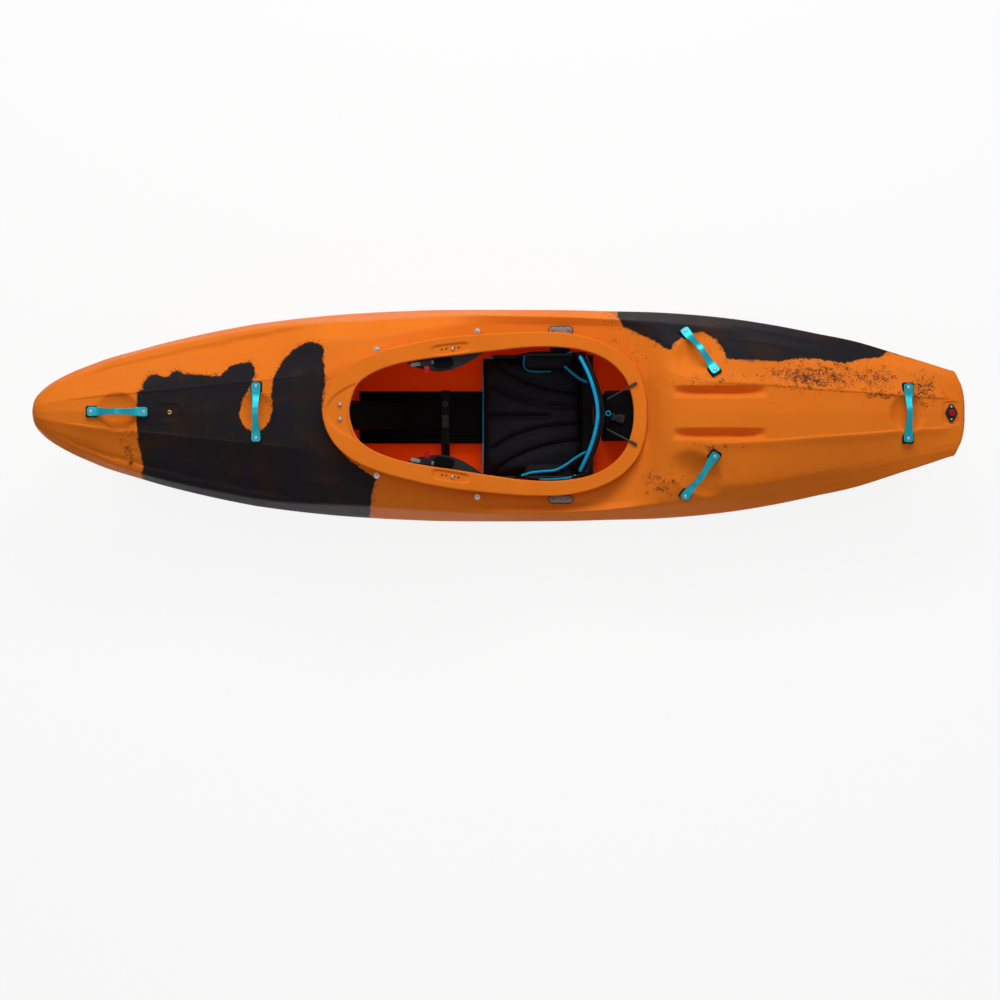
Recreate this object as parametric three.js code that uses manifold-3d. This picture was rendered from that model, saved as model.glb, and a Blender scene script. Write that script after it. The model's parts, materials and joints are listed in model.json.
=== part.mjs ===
// Whitewater creek kayak: a moulded shell with its cockpit rim, grab handles, drain, seat and fittings.
// Millimetres. The bow points to -X, the stern to +X, starboard is +Y and +Z is up.
// The origin is on the ground under the middle of the boat, where its flat bottom rests.
import * as THREE from "three";
import { mergeVertices } from "three/addons/utils/BufferGeometryUtils.js";
import Module from "manifold-3d";

const wasm = await Module();
wasm.setup();

// Driving sizes of the boat
const hullLength = 2720;
const hullBeam = 642;
const boatHeight = 415;
const wall = 6;
const fit = 0.4;
const overrun = 12;
const weld = 0.001;

// The cockpit rim, and the counts of its sections
const rim = {
  front: -518,
  length: 947,
  width: 486,
  lip: 9,
  edge: 3,
  overhang: 15,
  riser: 7,
  sunk: 3,
};
const rimStations = 44;

const halfLength = hullLength / 2;
const halfBeam = hullBeam / 2;
const rimBack = rim.front + rim.length;
const quarterTurn = Math.PI / 2;
const halfTurn = Math.PI;
const sides = [
  ["port", -1],
  ["starboard", 1],
];

// Finishes
function finish(color, roughness, metalness = 0) {
  return new THREE.MeshStandardMaterial({ color, roughness, metalness });
}
const orangePlastic = finish(0xee7a1c, 0.42);
const tealAluminium = finish(0x0a8f9e, 0.3, 0.85);
const stainless = finish(0xb9bcc0, 0.3, 0.9);
const brass = finish(0xc79a3c, 0.35, 0.9);
const blackPlastic = finish(0x17171a, 0.55);
const redPlastic = finish(0xc8102e, 0.4);
const blackFabric = finish(0x141418, 0.9);
const blackFoam = finish(0x1b1b1d, 0.95);
const blackRubber = finish(0x101012, 0.8);
const greyPlastic = finish(0x8b9095, 0.5);

// The boat's lines, each a list of [share of the length from the bow, share].
// Breadths are shares of the half beam and heights are shares of the boat's height.
const keelShares = [
  [0, 0.915], [0.0016, 0.885], [0.006, 0.835], [0.0166, 0.765], [0.038, 0.645], [0.06, 0.545],
  [0.081, 0.46], [0.103, 0.387], [0.124, 0.32], [0.146, 0.262], [0.189, 0.174], [0.232, 0.113],
  [0.275, 0.07], [0.339, 0.033], [0.395, 0.012], [0.45, 0], [0.62, 0], [0.66, 0.018],
  [0.7, 0.055], [0.74, 0.102], [0.78, 0.157], [0.82, 0.224], [0.86, 0.302], [0.9, 0.39],
  [0.941, 0.489], [0.985, 0.602], [1, 0.642],
];
const seamBreadthShares = [
  [0, 0], [0.0016, 0.137], [0.0037, 0.18], [0.008, 0.232], [0.0144, 0.288], [0.0342, 0.4],
  [0.0524, 0.472], [0.0737, 0.545], [0.1, 0.615], [0.13, 0.688], [0.165, 0.757], [0.2, 0.815],
  [0.243, 0.873], [0.287, 0.92], [0.331, 0.955], [0.39, 0.984], [0.44, 0.998], [0.5, 1],
  [0.56, 0.998], [0.62, 0.986], [0.664, 0.977], [0.708, 0.952], [0.752, 0.91], [0.795, 0.85],
  [0.838, 0.773], [0.881, 0.682], [0.922, 0.574], [0.964, 0.455], [1, 0.345],
];
const seamHeightShares = [
  [0, 0.915], [0.0274, 0.805], [0.0596, 0.695], [0.0829, 0.643], [0.107, 0.595], [0.155, 0.53],
  [0.203, 0.482], [0.251, 0.443], [0.3, 0.422], [0.38, 0.398], [0.46, 0.376], [0.53, 0.371],
  [0.6, 0.378], [0.663, 0.388], [0.732, 0.424], [0.8, 0.477], [0.855, 0.537], [0.91, 0.602],
  [0.965, 0.675], [1, 0.716],
];
// The deck's tables are drawn for a cockpit between these shares, and stretch with the real one.
const drawnRimShares = [0.309559, 0.657721];
const deckShares = [
  [0, 0.915], [0.0016, 0.944], [0.006, 0.976], [0.0123, 0.988], [0.0166, 0.99], [0.038, 0.975],
  [0.06, 0.956], [0.103, 0.923], [0.146, 0.892], [0.21, 0.886], [0.313, 0.888], [0.35, 0.868],
  [0.384, 0.82], [0.434, 0.708], [0.483, 0.585], [0.508, 0.542], [0.532, 0.513], [0.568, 0.497],
  [0.6, 0.508], [0.63, 0.552], [0.6505, 0.592], [0.6576, 0.607], [0.6635, 0.65], [0.673, 0.717],
  [0.687, 0.775], [0.705, 0.806], [0.725, 0.812], [0.77, 0.805], [0.81, 0.798], [0.86, 0.788],
  [0.9, 0.775], [0.985, 0.762], [1, 0.757],
];
// Local lines: [share of the length, share of the seam's breadth, share of the way up].
// Below the seam, the way up runs from keel to seam, and above it from seam to deck.
const bottomEdgeShares = [
  [0, 0.55, 0.12], [0.1, 0.56, 0.1], [0.2, 0.69, 0.07], [0.35, 0.77, 0.03], [0.45, 0.79, 0],
  [0.62, 0.8, 0], [0.8, 0.8, 0.04], [1, 0.85, 0.08],
];
const chineShares = [
  [0, 0.88, 0.52], [0.1, 0.9, 0.6], [0.2, 0.93, 0.69], [0.28, 0.945, 0.65], [0.4, 0.95, 0.57],
  [0.53, 0.945, 0.53], [0.7, 0.945, 0.5], [1, 0.95, 0.5],
];
const shoulderShares = [
  [0, 0.8, 0.5], [0.044, 0.8, 0.5], [0.09, 0.88, 0.55], [0.13, 0.897, 0.53], [0.2, 0.897, 0.45],
  [0.25, 0.905, 0.46], [0.31, 0.885, 0.62], [0.35, 0.875, 0.69], [0.434, 0.9, 0.78],
  [0.483, 0.915, 1.04], [0.54, 0.915, 1.2], [0.58, 0.91, 1.25], [0.615, 0.9, 1.2],
  [0.635, 0.885, 1.12], [0.66, 0.865, 0.95], [0.69, 0.85, 0.6], [0.73, 0.85, 0.54],
  [0.773, 0.848, 0.51], [0.862, 0.8, 0.435], [0.94, 0.76, 0.43], [1, 0.83, 0.5],
];
const hollowShares = [
  [0, 0.54, 0.76], [0.044, 0.54, 0.77], [0.13, 0.6, 0.735], [0.2, 0.6, 0.69], [0.25, 0.6, 0.7],
  [0.31, 0.7, 0.86], [0.35, 0.7, 0.9], [0.434, 0.8, 0.93], [0.483, 0.835, 1], [0.54, 0.835, 1.02],
  [0.6, 0.83, 1.02], [0.635, 0.82, 1], [0.66, 0.74, 0.95], [0.69, 0.62, 0.84], [0.73, 0.7, 0.77],
  [0.773, 0.74, 0.75], [0.862, 0.69, 0.6], [0.94, 0.67, 0.54], [1, 0.65, 0.75],
];
const panelShares = [
  [0, 0.28, 0.96], [0.044, 0.285, 0.96], [0.13, 0.29, 0.965], [0.2, 0.315, 0.97],
  [0.31, 0.375, 0.985], [0.36, 0.5, 0.99], [0.45, 0.55, 1], [0.62, 0.55, 1], [0.66, 0.4, 0.995],
  [0.7, 0.3, 0.985], [0.773, 0.3, 0.975], [0.862, 0.285, 0.97], [0.94, 0.285, 0.95], [1, 0.34, 0.95],
];
// How far each corner of a section is rounded, as shares of the straights beside it, and its steps.
const roundShares = { panel: 0.14, hollow: 0.32, shoulder: 0.3, seam: 0.12, chine: 0.28, edge: 0.34 };
const outerSteps = { panel: 0, hollow: 1, shoulder: 2, seam: 0, chine: 1, edge: 2 };
const innerSteps = { panel: 0, hollow: 0, shoulder: 1, seam: 0, chine: 0, edge: 1 };

const stationShares = [
  0.0016, 0.006, 0.0144, 0.03, 0.05, 0.075, 0.1, 0.13, 0.16, 0.2, 0.24, 0.275, 0.31, 0.34, 0.37,
  0.4, 0.43, 0.46, 0.49, 0.52, 0.56, 0.6, 0.63, 0.65, 0.6635, 0.673, 0.687, 0.705, 0.735, 0.78,
  0.83, 0.88, 0.93, 0.97,
];
const transom = { sag: 24, fillet: 13, crown: 2 };
const transomFromShare = 0.86;
const transomTurns = 2;
const lastShare = (hullLength - transom.fillet - transom.crown) / hullLength;
const hollowEndShares = { bow: 0.0072, stern: 0.9915 };

// A smooth value along the boat that doesn't overshoot its table, finer towards the bow.
function along(table, share, column = 1) {
  const at = (i) => Math.sqrt(table[i][0]);
  const value = (i) => table[i][column];
  const where = Math.sqrt(Math.min(Math.max(share, 0), 1));
  let i = 0;
  while (i < table.length - 2 && at(i + 1) < where) i++;
  const slope = (a) => (value(a + 1) - value(a)) / (at(a + 1) - at(a));
  const tangent = (a) => {
    if (a === 0) return slope(0);
    if (a === table.length - 1) return slope(a - 1);
    const before = slope(a - 1);
    const after = slope(a);
    return before * after > 0 ? (2 * before * after) / (before + after) : 0;
  };
  const span = at(i + 1) - at(i);
  const s = (where - at(i)) / span;
  return (
    value(i) * (1 + 2 * s) * (1 - s) * (1 - s) +
    tangent(i) * span * s * (1 - s) * (1 - s) +
    value(i + 1) * s * s * (3 - 2 * s) -
    tangent(i + 1) * span * s * s * (1 - s)
  );
}

function smooth(share) {
  const s = Math.min(Math.max(share, 0), 1);
  return s * s * (3 - 2 * s);
}

const shareAt = (x) => (x + halfLength) / hullLength;
const placeOf = (share) => share * hullLength - halfLength;

// A value moved from three marks to three others, straight between them.
function stretch(value, marks, onto) {
  const i = value < marks[1] ? 0 : value < marks[2] ? 1 : 2;
  return onto[i] + ((value - marks[i]) * (onto[i + 1] - onto[i])) / (marks[i + 1] - marks[i]);
}
const rimMarks = [0, shareAt(rim.front), shareAt(rimBack), 1];
const drawnMarks = [0, ...drawnRimShares, 1];
const drawnShare = (share) => stretch(share, rimMarks, drawnMarks);

// Half a cross section from the deck's middle down to the keel, moved inwards by inset.
function halfSection(share, steps, inset = 0) {
  const breadth = halfBeam * along(seamBreadthShares, share);
  const keel = boatHeight * along(keelShares, share);
  const seam = boatHeight * along(seamHeightShares, share);
  const drawn = drawnShare(share);
  const deck = boatHeight * along(deckShares, drawn);
  const local = (table, at, low, high) => [
    breadth * along(table, at, 1),
    low + (high - low) * along(table, at, 2),
  ];
  const corners = [
    [[0, deck]],
    [local(panelShares, drawn, seam, deck), "panel"],
    [local(hollowShares, drawn, seam, deck), "hollow"],
    [local(shoulderShares, drawn, seam, deck), "shoulder"],
    [[breadth, seam], "seam"],
    [local(chineShares, share, keel, seam), "chine"],
    [local(bottomEdgeShares, share, keel, seam), "edge"],
    [[0, keel]],
  ];
  const towards = (a, b, part) => [a[0] + (b[0] - a[0]) * part, a[1] + (b[1] - a[1]) * part];
  const points = [];
  corners.forEach(([corner, name], i) => {
    if (!name || !steps[name]) {
      points.push(corner);
      return;
    }
    const start = towards(corner, corners[i - 1][0], roundShares[name]);
    const end = towards(corner, corners[i + 1][0], roundShares[name]);
    for (let step = 0; step <= steps[name]; step++) {
      const s = step / steps[name];
      points.push(towards(towards(start, corner, s), towards(corner, end, s), s));
    }
  });
  if (!inset) return points;
  return points.map((point, i) => {
    if (i === 0) return [0, point[1] - inset];
    if (i === points.length - 1) return [0, point[1] + inset];
    const [before, after] = [points[i - 1], points[i + 1]];
    const [dy, dz] = [after[0] - before[0], after[1] - before[1]];
    const long = Math.hypot(dy, dz);
    return [Math.max(point[0] + (dz / long) * inset, 0), point[1] - (dy / long) * inset];
  });
}

// A whole ring of the hull. The stern's rings bow out towards the middle.
function ring(share, steps, inset, x = placeOf(share)) {
  const half = halfSection(share, steps, inset);
  const breadth = Math.max(...half.map((p) => p[0]));
  const sag = transom.sag * smooth((share - transomFromShare) / (1 - transomFromShare));
  const point = (y, z) => new THREE.Vector3(x - sag * (y / breadth) ** 2, y, z);
  const right = half.map(([y, z]) => point(y, z));
  const left = half.slice(1, -1).reverse();
  return [...right, ...left.map(([y, z]) => point(-y, z))];
}

function middleOf(points) {
  const sum = points.reduce((total, p) => total.add(p), new THREE.Vector3());
  return sum.divideScalar(points.length);
}

// A closed body through rings of as many points each, ended by a point or a flat at each end.
function loft(rings, first = middleOf(rings[0]), last = middleOf(rings.at(-1))) {
  const count = rings[0].length;
  const vertices = [...rings.flat(), first, last];
  const [start, end] = [vertices.length - 2, vertices.length - 1];
  const faces = [];
  rings.slice(1).forEach((_, r) => {
    for (let i = 0; i < count; i++) {
      const [a, b] = [r * count + i, r * count + ((i + 1) % count)];
      faces.push([a, a + count, b], [b, a + count, b + count]);
    }
  });
  const lastRing = (rings.length - 1) * count;
  for (let i = 0; i < count; i++) {
    const next = (i + 1) % count;
    faces.push([start, i, next], [end, lastRing + next, lastRing + i]);
  }
  return solidOf(vertices, faces);
}

// A closed ring-shaped body: the last section joins the first one.
function loopLoft(rings) {
  const count = rings[0].length;
  const faces = [];
  rings.forEach((_, r) => {
    const after = (r + 1) % rings.length;
    for (let i = 0; i < count; i++) {
      const next = (i + 1) % count;
      const [a, b] = [r * count + i, r * count + next];
      const [c, d] = [after * count + i, after * count + next];
      faces.push([a, c, b], [b, c, d]);
    }
  });
  return solidOf(rings.flat(), faces);
}

// A solid from corner points and triangles, turned to face outwards.
function solidOf(vertices, faces) {
  const at = (face, i) => vertices[face[i]];
  const volume = faces.reduce((sum, f) => sum + at(f, 0).dot(at(f, 1).clone().cross(at(f, 2))), 0);
  const outward = volume < 0 ? faces.map(([a, b, c]) => [a, c, b]) : faces;
  return new wasm.Manifold(
    new wasm.Mesh({
      numProp: 3,
      vertProperties: new Float32Array(vertices.flatMap((v) => [v.x, v.y, v.z])),
      triVerts: new Uint32Array(outward.flat()),
    }),
  );
}

// A three.js geometry as a solid, set in place by a matrix.
function solid(geometry, place = new THREE.Matrix4()) {
  const bare = geometry.index ? geometry.toNonIndexed() : geometry.clone();
  bare.applyMatrix4(place);
  bare.deleteAttribute("normal");
  bare.deleteAttribute("uv");
  const merged = mergeVertices(bare, weld);
  return new wasm.Manifold(
    new wasm.Mesh({
      numProp: 3,
      vertProperties: merged.attributes.position.array,
      triVerts: new Uint32Array(merged.index.array),
    }),
  );
}

const kayak = new THREE.Group();

function add(name, shape, material) {
  const { vertProperties, triVerts } = shape.getMesh();
  const geometry = new THREE.BufferGeometry();
  geometry.setAttribute("position", new THREE.BufferAttribute(vertProperties, 3));
  geometry.setIndex(new THREE.BufferAttribute(triVerts, 1));
  geometry.computeVertexNormals();
  const mesh = new THREE.Mesh(geometry, material);
  mesh.name = name;
  kayak.add(mesh);
  return mesh;
}

// Places: a move, a turned move, and a frame whose axes are given.
const moved = (x, y, z) => new THREE.Matrix4().makeTranslation(x, y, z);
function turned(x, y, z, rx = 0, ry = 0, rz = 0) {
  const place = new THREE.Matrix4().makeRotationFromEuler(new THREE.Euler(rx, ry, rz));
  return place.setPosition(x, y, z);
}
function frameAt(origin, xAxis, up) {
  const x = xAxis.clone().normalize();
  const y = up.clone().cross(x).normalize();
  const z = x.clone().cross(y);
  return new THREE.Matrix4().makeBasis(x, y, z).setPosition(origin);
}

const boxOf = (x, y, z, place) => solid(new THREE.BoxGeometry(x, y, z), place);
// A cylinder along its own Z axis.
function rod(radius, length, place = new THREE.Matrix4(), segments = 10) {
  const geometry = new THREE.CylinderGeometry(radius, radius, length, segments);
  geometry.rotateX(quarterTurn);
  return solid(geometry, place);
}
// A plan outline with straight sides and round ends, long in X.
function stadium(length, width, steps = 5) {
  const r = width / 2;
  const run = length / 2 - r;
  const outline = new THREE.Shape();
  outline.absarc(run, 0, r, -quarterTurn, quarterTurn, false);
  outline.absarc(-run, 0, r, quarterTurn, 3 * quarterTurn, false);
  return new THREE.Shape(outline.getPoints(steps));
}
function slab(outline, depth, place) {
  return solid(new THREE.ExtrudeGeometry(outline, { depth, bevelEnabled: false }), place);
}
const shapeOf = (points) => new THREE.Shape(points.map(([x, y]) => new THREE.Vector2(x, y)));

// The outer body, the hollow inside it and a hollow that is a little smaller, for what fits in it.
const stations = stationShares.map((share) => stretch(share, drawnMarks, rimMarks));
function outerBody() {
  const rings = [...stations, lastShare].map((share) => ring(share, outerSteps, 0));
  for (let turn = 1; turn <= transomTurns; turn++) {
    const angle = (quarterTurn * turn) / transomTurns;
    const x = placeOf(lastShare) + transom.fillet * Math.sin(angle);
    rings.push(ring(lastShare, outerSteps, transom.fillet * (1 - Math.cos(angle)), x));
  }
  const tip = new THREE.Vector3(-halfLength, 0, boatHeight * keelShares[0][1]);
  const stern = middleOf(rings.at(-1)).setX(halfLength);
  return loft(rings, tip, stern);
}
function hollowBody(inset) {
  const between = stations.filter((s) => s > hollowEndShares.bow && s < hollowEndShares.stern);
  const shares = [hollowEndShares.bow, ...between, hollowEndShares.stern];
  return loft(shares.map((share) => ring(share, innerSteps, inset)));
}

// The height of the deck over a point of the plan, and the breadth of the side at a height.
function deckHeight(x, y) {
  const points = halfSection(shareAt(x), outerSteps);
  const reach = Math.abs(y);
  for (let i = 0; i + 1 < points.length; i++) {
    const [[y0, z0], [y1, z1]] = [points[i], points[i + 1]];
    if (reach <= y1) return z0 + ((z1 - z0) * (reach - y0)) / (y1 - y0);
  }
  return points[0][1];
}
function sideBreadth(x, z) {
  const points = halfSection(shareAt(x), outerSteps);
  for (let i = points.length - 1; i > 0; i--) {
    const [[y0, z0], [y1, z1]] = [points[i], points[i - 1]];
    if (z <= z1) return y0 + ((y1 - y0) * (z - z0)) / (z1 - z0);
  }
  return 0;
}

// The cockpit rim's plan lines as shares of its length and half width, front to back.
const rimShares = {
  outer: [
    [0, 0], [0.011, 0.206], [0.04, 0.4], [0.093, 0.576], [0.171, 0.712], [0.275, 0.823],
    [0.379, 0.905], [0.506, 0.963], [0.642, 1], [0.758, 0.984], [0.853, 0.889], [0.922, 0.741],
    [0.971, 0.527], [0.995, 0.255], [1, 0],
  ],
  inner: [
    [0.082, 0], [0.09, 0.173], [0.109, 0.33], [0.151, 0.453], [0.22, 0.56], [0.309, 0.634],
    [0.404, 0.687], [0.515, 0.753], [0.637, 0.811], [0.742, 0.807], [0.824, 0.745],
    [0.885, 0.626], [0.929, 0.444], [0.952, 0.214], [0.958, 0],
  ],
  top: [
    [0, 1], [0.05, 0.996], [0.147, 0.969], [0.215, 0.94], [0.3, 0.896], [0.357, 0.86],
    [0.43, 0.798], [0.498, 0.732], [0.569, 0.676], [0.64, 0.644], [0.743, 0.629], [0.853, 0.629],
    [0.92, 0.634], [1, 0.639],
  ],
};
function rimTop(x) {
  return boatHeight * along(rimShares.top, (x - rim.front) / rim.length);
}
// A closed plan curve through one of the rim's lines, and points spread along it.
function rimLine(shares) {
  const right = shares.map(([u, v]) => [rim.front + rim.length * u, (rim.width / 2) * v]);
  const left = right.slice(1, -1).reverse();
  const plan = [...right, ...left.map(([x, y]) => [x, -y])];
  const points = plan.map(([x, y]) => new THREE.Vector3(x, y, 0));
  const curve = new THREE.CatmullRomCurve3(points, true, "centripetal");
  return Array.from({ length: rimStations }, (_, i) => curve.getPoint(i / rimStations));
}
const rimOuter = rimLine(rimShares.outer);
const rimInner = rimLine(rimShares.inner);
// The plan point at a distance in from the rim's outer edge.
function rimPoint(i, inwards) {
  const across = rimInner[i].clone().sub(rimOuter[i]);
  return rimOuter[i].clone().addScaledVector(across.clone().normalize(), inwards);
}
function rimBody() {
  const rings = rimOuter.map((outer, i) => {
    const width = outer.distanceTo(rimInner[i]);
    const riserOut = rimPoint(i, rim.overhang);
    const foot = deckHeight(riserOut.x, riserOut.y) - rim.sunk;
    const at = (inwards, below) => {
      const p = rimPoint(i, inwards);
      return p.setZ(rimTop(p.x) - below);
    };
    const down = (inwards) => {
      const p = rimPoint(i, inwards);
      return p.setZ(Math.min(foot, rimTop(p.x) - rim.lip - rim.edge));
    };
    return [
      at(0, rim.edge),
      at(rim.edge, 0),
      at(width - rim.edge, 0),
      at(width, rim.edge),
      at(width, rim.lip),
      at(width - rim.edge, rim.lip + rim.edge),
      at(rim.overhang + rim.riser, rim.lip),
      down(rim.overhang + rim.riser),
      down(rim.overhang),
      at(rim.overhang, rim.lip),
      at(0, rim.lip),
    ];
  });
  return loopLoft(rings);
}
// The way in, cut through the deck along the middle of the riser.
function cockpitCut() {
  const inset = rim.overhang + rim.riser / 2;
  const outline = shapeOf(rimOuter.map((_, i) => rimPoint(i, inset)).map((p) => [p.x, p.y]));
  const low = boatHeight * seamHeightShares.at(11)[1];
  return slab(outline, boatHeight, moved(0, 0, low));
}

// Grab handles: waisted aluminium straps over hand scoops, each on two bosses with a bolt.
const handle = {
  span: 150,
  overlap: 11,
  footLong: 13,
  endWidth: 28,
  waist: 17,
  thick: 5,
  rise: 17,
  standoff: 8,
  chamfer: 1.2,
};
const handleSteps = 10;
const handleLean = 0.3;
const bolt = { head: 5.5, headHeight: 3.4, shank: 3, length: 26, clearance: 0.3 };
const boss = { size: 30, depth: 16, pocket: 26, pocketLong: 44 };
// Places on the two decks: from the bow to the rim, and from the rim to the stern.
const foredeckAt = (share) => share * (rim.front + halfLength) - halfLength;
const rearDeckAt = (share) => rimBack + share * (halfLength - rimBack);
const deckPlaceShares = {
  bow: 0.2945,
  camera: 0.4679,
  foredeck: 0.7672,
  rear: 0.1633,
  rearScoop: 0.1568,
  flute: 0.2223,
  stern: 0.8174,
  drain: 0.9527,
  pillar: 0.7422,
};
const rearHandleTurn = 0.9636;
const rearHandleShare = 0.5639;
const handleMiddles = {
  bow: [foredeckAt(deckPlaceShares.bow), 0, 0],
  foredeck: [foredeckAt(deckPlaceShares.foredeck), 0, quarterTurn],
  rear_port: [rearDeckAt(deckPlaceShares.rear), -rearHandleShare * halfBeam, rearHandleTurn],
  rear_starboard: [rearDeckAt(deckPlaceShares.rear), rearHandleShare * halfBeam, -rearHandleTurn],
  stern: [rearDeckAt(deckPlaceShares.stern), 0, quarterTurn],
};
// Each handle's own frame: X along it, Z away from the deck, its origin between the feet.
function handleFrame([x, y, turn]) {
  const foot = (end) => {
    const reach = (end * handle.span) / 2;
    const [px, py] = [x + reach * Math.cos(turn), y + reach * Math.sin(turn)];
    return new THREE.Vector3(px, py, deckHeight(px, py));
  };
  const [a, b] = [foot(-1), foot(1)];
  const middle = a.clone().add(b).multiplyScalar(0.5);
  const outwards = Math.sign(middle.y) * handleLean;
  const frame = frameAt(middle, b.clone().sub(a), new THREE.Vector3(0, outwards, 1));
  return frame.multiply(moved(0, 0, handle.standoff));
}
function handleBody() {
  const reach = handle.span / 2 + handle.overlap;
  const archHalf = handle.span / 2 - handle.footLong;
  const stops = [-reach];
  for (let i = 0; i <= handleSteps; i++) stops.push(archHalf * ((2 * i) / handleSteps - 1));
  stops.push(reach);
  const rings = stops.map((u) => {
    const out = smooth(Math.abs(u) / archHalf);
    const half = (handle.waist + (handle.endWidth - handle.waist) * out) / 2;
    const low = handle.rise * (1 - out);
    const high = low + handle.thick;
    const c = handle.chamfer;
    const loop = [
      [-half, low], [half, low], [half, high - c], [half - c, high], [c - half, high], [-half, high - c],
    ];
    return loop.map(([v, w]) => new THREE.Vector3(u, v, w));
  });
  return [-1, 1].reduce(
    (body, end) => body.subtract(boltHole(moved((end * handle.span) / 2, 0, 0))),
    loft(rings),
  );
}
const boltHole = (place, long = bolt.length * 4) => rod(bolt.shank + bolt.clearance, long, place, 8);
// A dome headed bolt that stands on the plane z = 0 of its place.
function boltBody(place, length = bolt.length) {
  const { head, headHeight, shank } = bolt;
  const profile = [
    [0, -length], [shank, -length], [shank, 0], [head, 0], [head / 2, headHeight], [0, headHeight],
  ];
  const geometry = new THREE.LatheGeometry(profile.map(([r, y]) => new THREE.Vector2(r, y)), 8);
  geometry.rotateX(quarterTurn);
  return solid(geometry, place);
}

// Dishes under the handles, and the two long flutes behind the cockpit.
const scoop = { bow: 60, foredeck: 57, stern: 55, depth: 20 };
const rearScoop = { long: 84, wide: 56, depth: 26 };
const rearScoopTurn = 0.61;
const rearScoopShare = 0.5545;
const flute = { long: 137, wide: 18, depth: 13 };
const fluteShare = 0.1931;
const roundScoop = (name, x) => ({
  x, y: 0, long: scoop[name], wide: scoop[name], depth: scoop.depth, turn: 0,
});
const dishes = [
  roundScoop("bow", handleMiddles.bow[0]),
  roundScoop("foredeck", handleMiddles.foredeck[0]),
  roundScoop("stern", handleMiddles.stern[0]),
];
for (const [, side] of sides) {
  const scoopX = rearDeckAt(deckPlaceShares.rearScoop);
  const fluteX = rearDeckAt(deckPlaceShares.flute);
  const turn = side * rearScoopTurn;
  dishes.push({ ...rearScoop, x: scoopX, y: side * rearScoopShare * halfBeam, turn });
  dishes.push({ ...flute, x: fluteX, y: side * fluteShare * halfBeam, turn: 0 });
}
// How much of a dish's ball stays above the deck, and the counts of its faces
const dishDipShare = 0.8;
const dishSteps = { around: 14, down: 7 };
// An ellipsoid whose lower part sinks into the deck, grown all round by inset.
function dishBody(dish, inset) {
  const sunk = dish.depth / (1 - dishDipShare);
  const spread = 1 / Math.sqrt(1 - dishDipShare ** 2);
  const deck = deckHeight(dish.x, dish.y);
  const size = new THREE.Vector3(dish.long * spread, dish.wide * spread, sunk).addScalar(inset);
  const outwards = Math.sign(dish.y);
  const slope = (deckHeight(dish.x, dish.y + outwards * dish.wide) - deck) / dish.wide;
  const lean = outwards * Math.atan(slope);
  const place = turned(dish.x, dish.y, deck + sunk * dishDipShare, lean, 0, 0);
  place.multiply(turned(0, 0, 0, 0, 0, dish.turn)).scale(size);
  return solid(new THREE.SphereGeometry(1, dishSteps.around, dishSteps.down), place);
}

// Camera mount: a threaded brass insert in a shallow square on the foredeck.
const cameraX = foredeckAt(deckPlaceShares.camera);
const cameraMount = { long: 62, wide: 44, sunk: 3.5, radius: 6, bore: 3, deep: 14 };
function cameraFloor() {
  return deckHeight(cameraX, 0) - cameraMount.sunk;
}
function cameraInsert() {
  const { radius, bore, deep } = cameraMount;
  const profile = [
    [0, -deep], [radius, -deep], [radius, 0], [bore, 0], [bore, bore - deep], [0, bore - deep],
  ];
  const geometry = new THREE.LatheGeometry(profile.map(([r, y]) => new THREE.Vector2(r, y)), 12);
  geometry.rotateX(quarterTurn);
  return solid(geometry, moved(cameraX, 0, cameraFloor()));
}

// Drain: a black seat on the stern with a red screw plug and its sealing ring.
const drainX = rearDeckAt(deckPlaceShares.drain);
const drain = {
  long: 34,
  wide: 52,
  thick: 4,
  sunk: 2,
  bore: 7.5,
  shank: 7,
  shankLength: 16,
  head: 10,
  headHeight: 6,
  sealOut: 9.6,
  sealHeight: 2,
  slot: 2.6,
  slotStop: 5,
};
const drainTop = () => deckHeight(drainX, 0) - drain.sunk + drain.thick;
function drainSeat() {
  const { long, wide, thick, bore } = drain;
  const cut = wide / 6;
  const outline = shapeOf([
    [long / 2, -cut / 2], [long / 2, cut / 2], [cut / 2, wide / 2], [-cut / 2, wide / 2],
    [-long / 2, cut / 2], [-long / 2, -cut / 2], [-cut / 2, -wide / 2], [cut / 2, -wide / 2],
  ]);
  const plate = slab(outline, thick, moved(drainX, 0, drainTop() - thick));
  return plate.subtract(rod(bore, thick * 4, moved(drainX, 0, drainTop()), 16));
}
const plugBase = () => drainTop() + drain.sealHeight + 2 * fit;
function drainPlug() {
  const { head, headHeight, slot } = drain;
  const slotAt = moved(drainX, 0, plugBase() + headHeight);
  const cap = rod(head, headHeight, moved(drainX, 0, plugBase() + headHeight / 2), 16);
  return cap.subtract(boxOf(head * 2 - drain.slotStop, slot, headHeight, slotAt));
}
function plugShank() {
  const length = drain.shankLength - fit;
  return rod(drain.shank, length, moved(drainX, 0, plugBase() - fit - length / 2), 16);
}
function drainSeal() {
  const at = moved(drainX, 0, drainTop() + fit + drain.sealHeight / 2);
  const ringOut = rod(drain.sealOut, drain.sealHeight, at, 16);
  return ringOut.subtract(rod(drain.shank + fit, drain.sealHeight * 2, at, 16));
}

// Bolts around the cockpit, in pairs. Places here are shares of the rim's length and half width.
const onRim = ([u, v]) => [rim.front + u * rim.length, (v * rim.width) / 2];
const rimBolt = { back: 51, y: 21, long: 17 };
const rimBoltX = rim.front + rimBolt.back;
const deckBoltShares = { front: [0.1605, 0.7572], rear: [0.4688, 1.0123] };
const deckBolts = Object.entries(deckBoltShares).map(([name, at]) => [name, ...onRim(at)]);
const deckBoss = { radius: 9, proud: 2.5, depth: 14 };
// Steel plates that the side hangers are screwed to.
const hangerPlate = { long: 74, wide: 25, thick: 3, proud: 2, inset: 14 };
const [hangerX, hangerY] = onRim([0.7318, 1.0412]);
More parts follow.
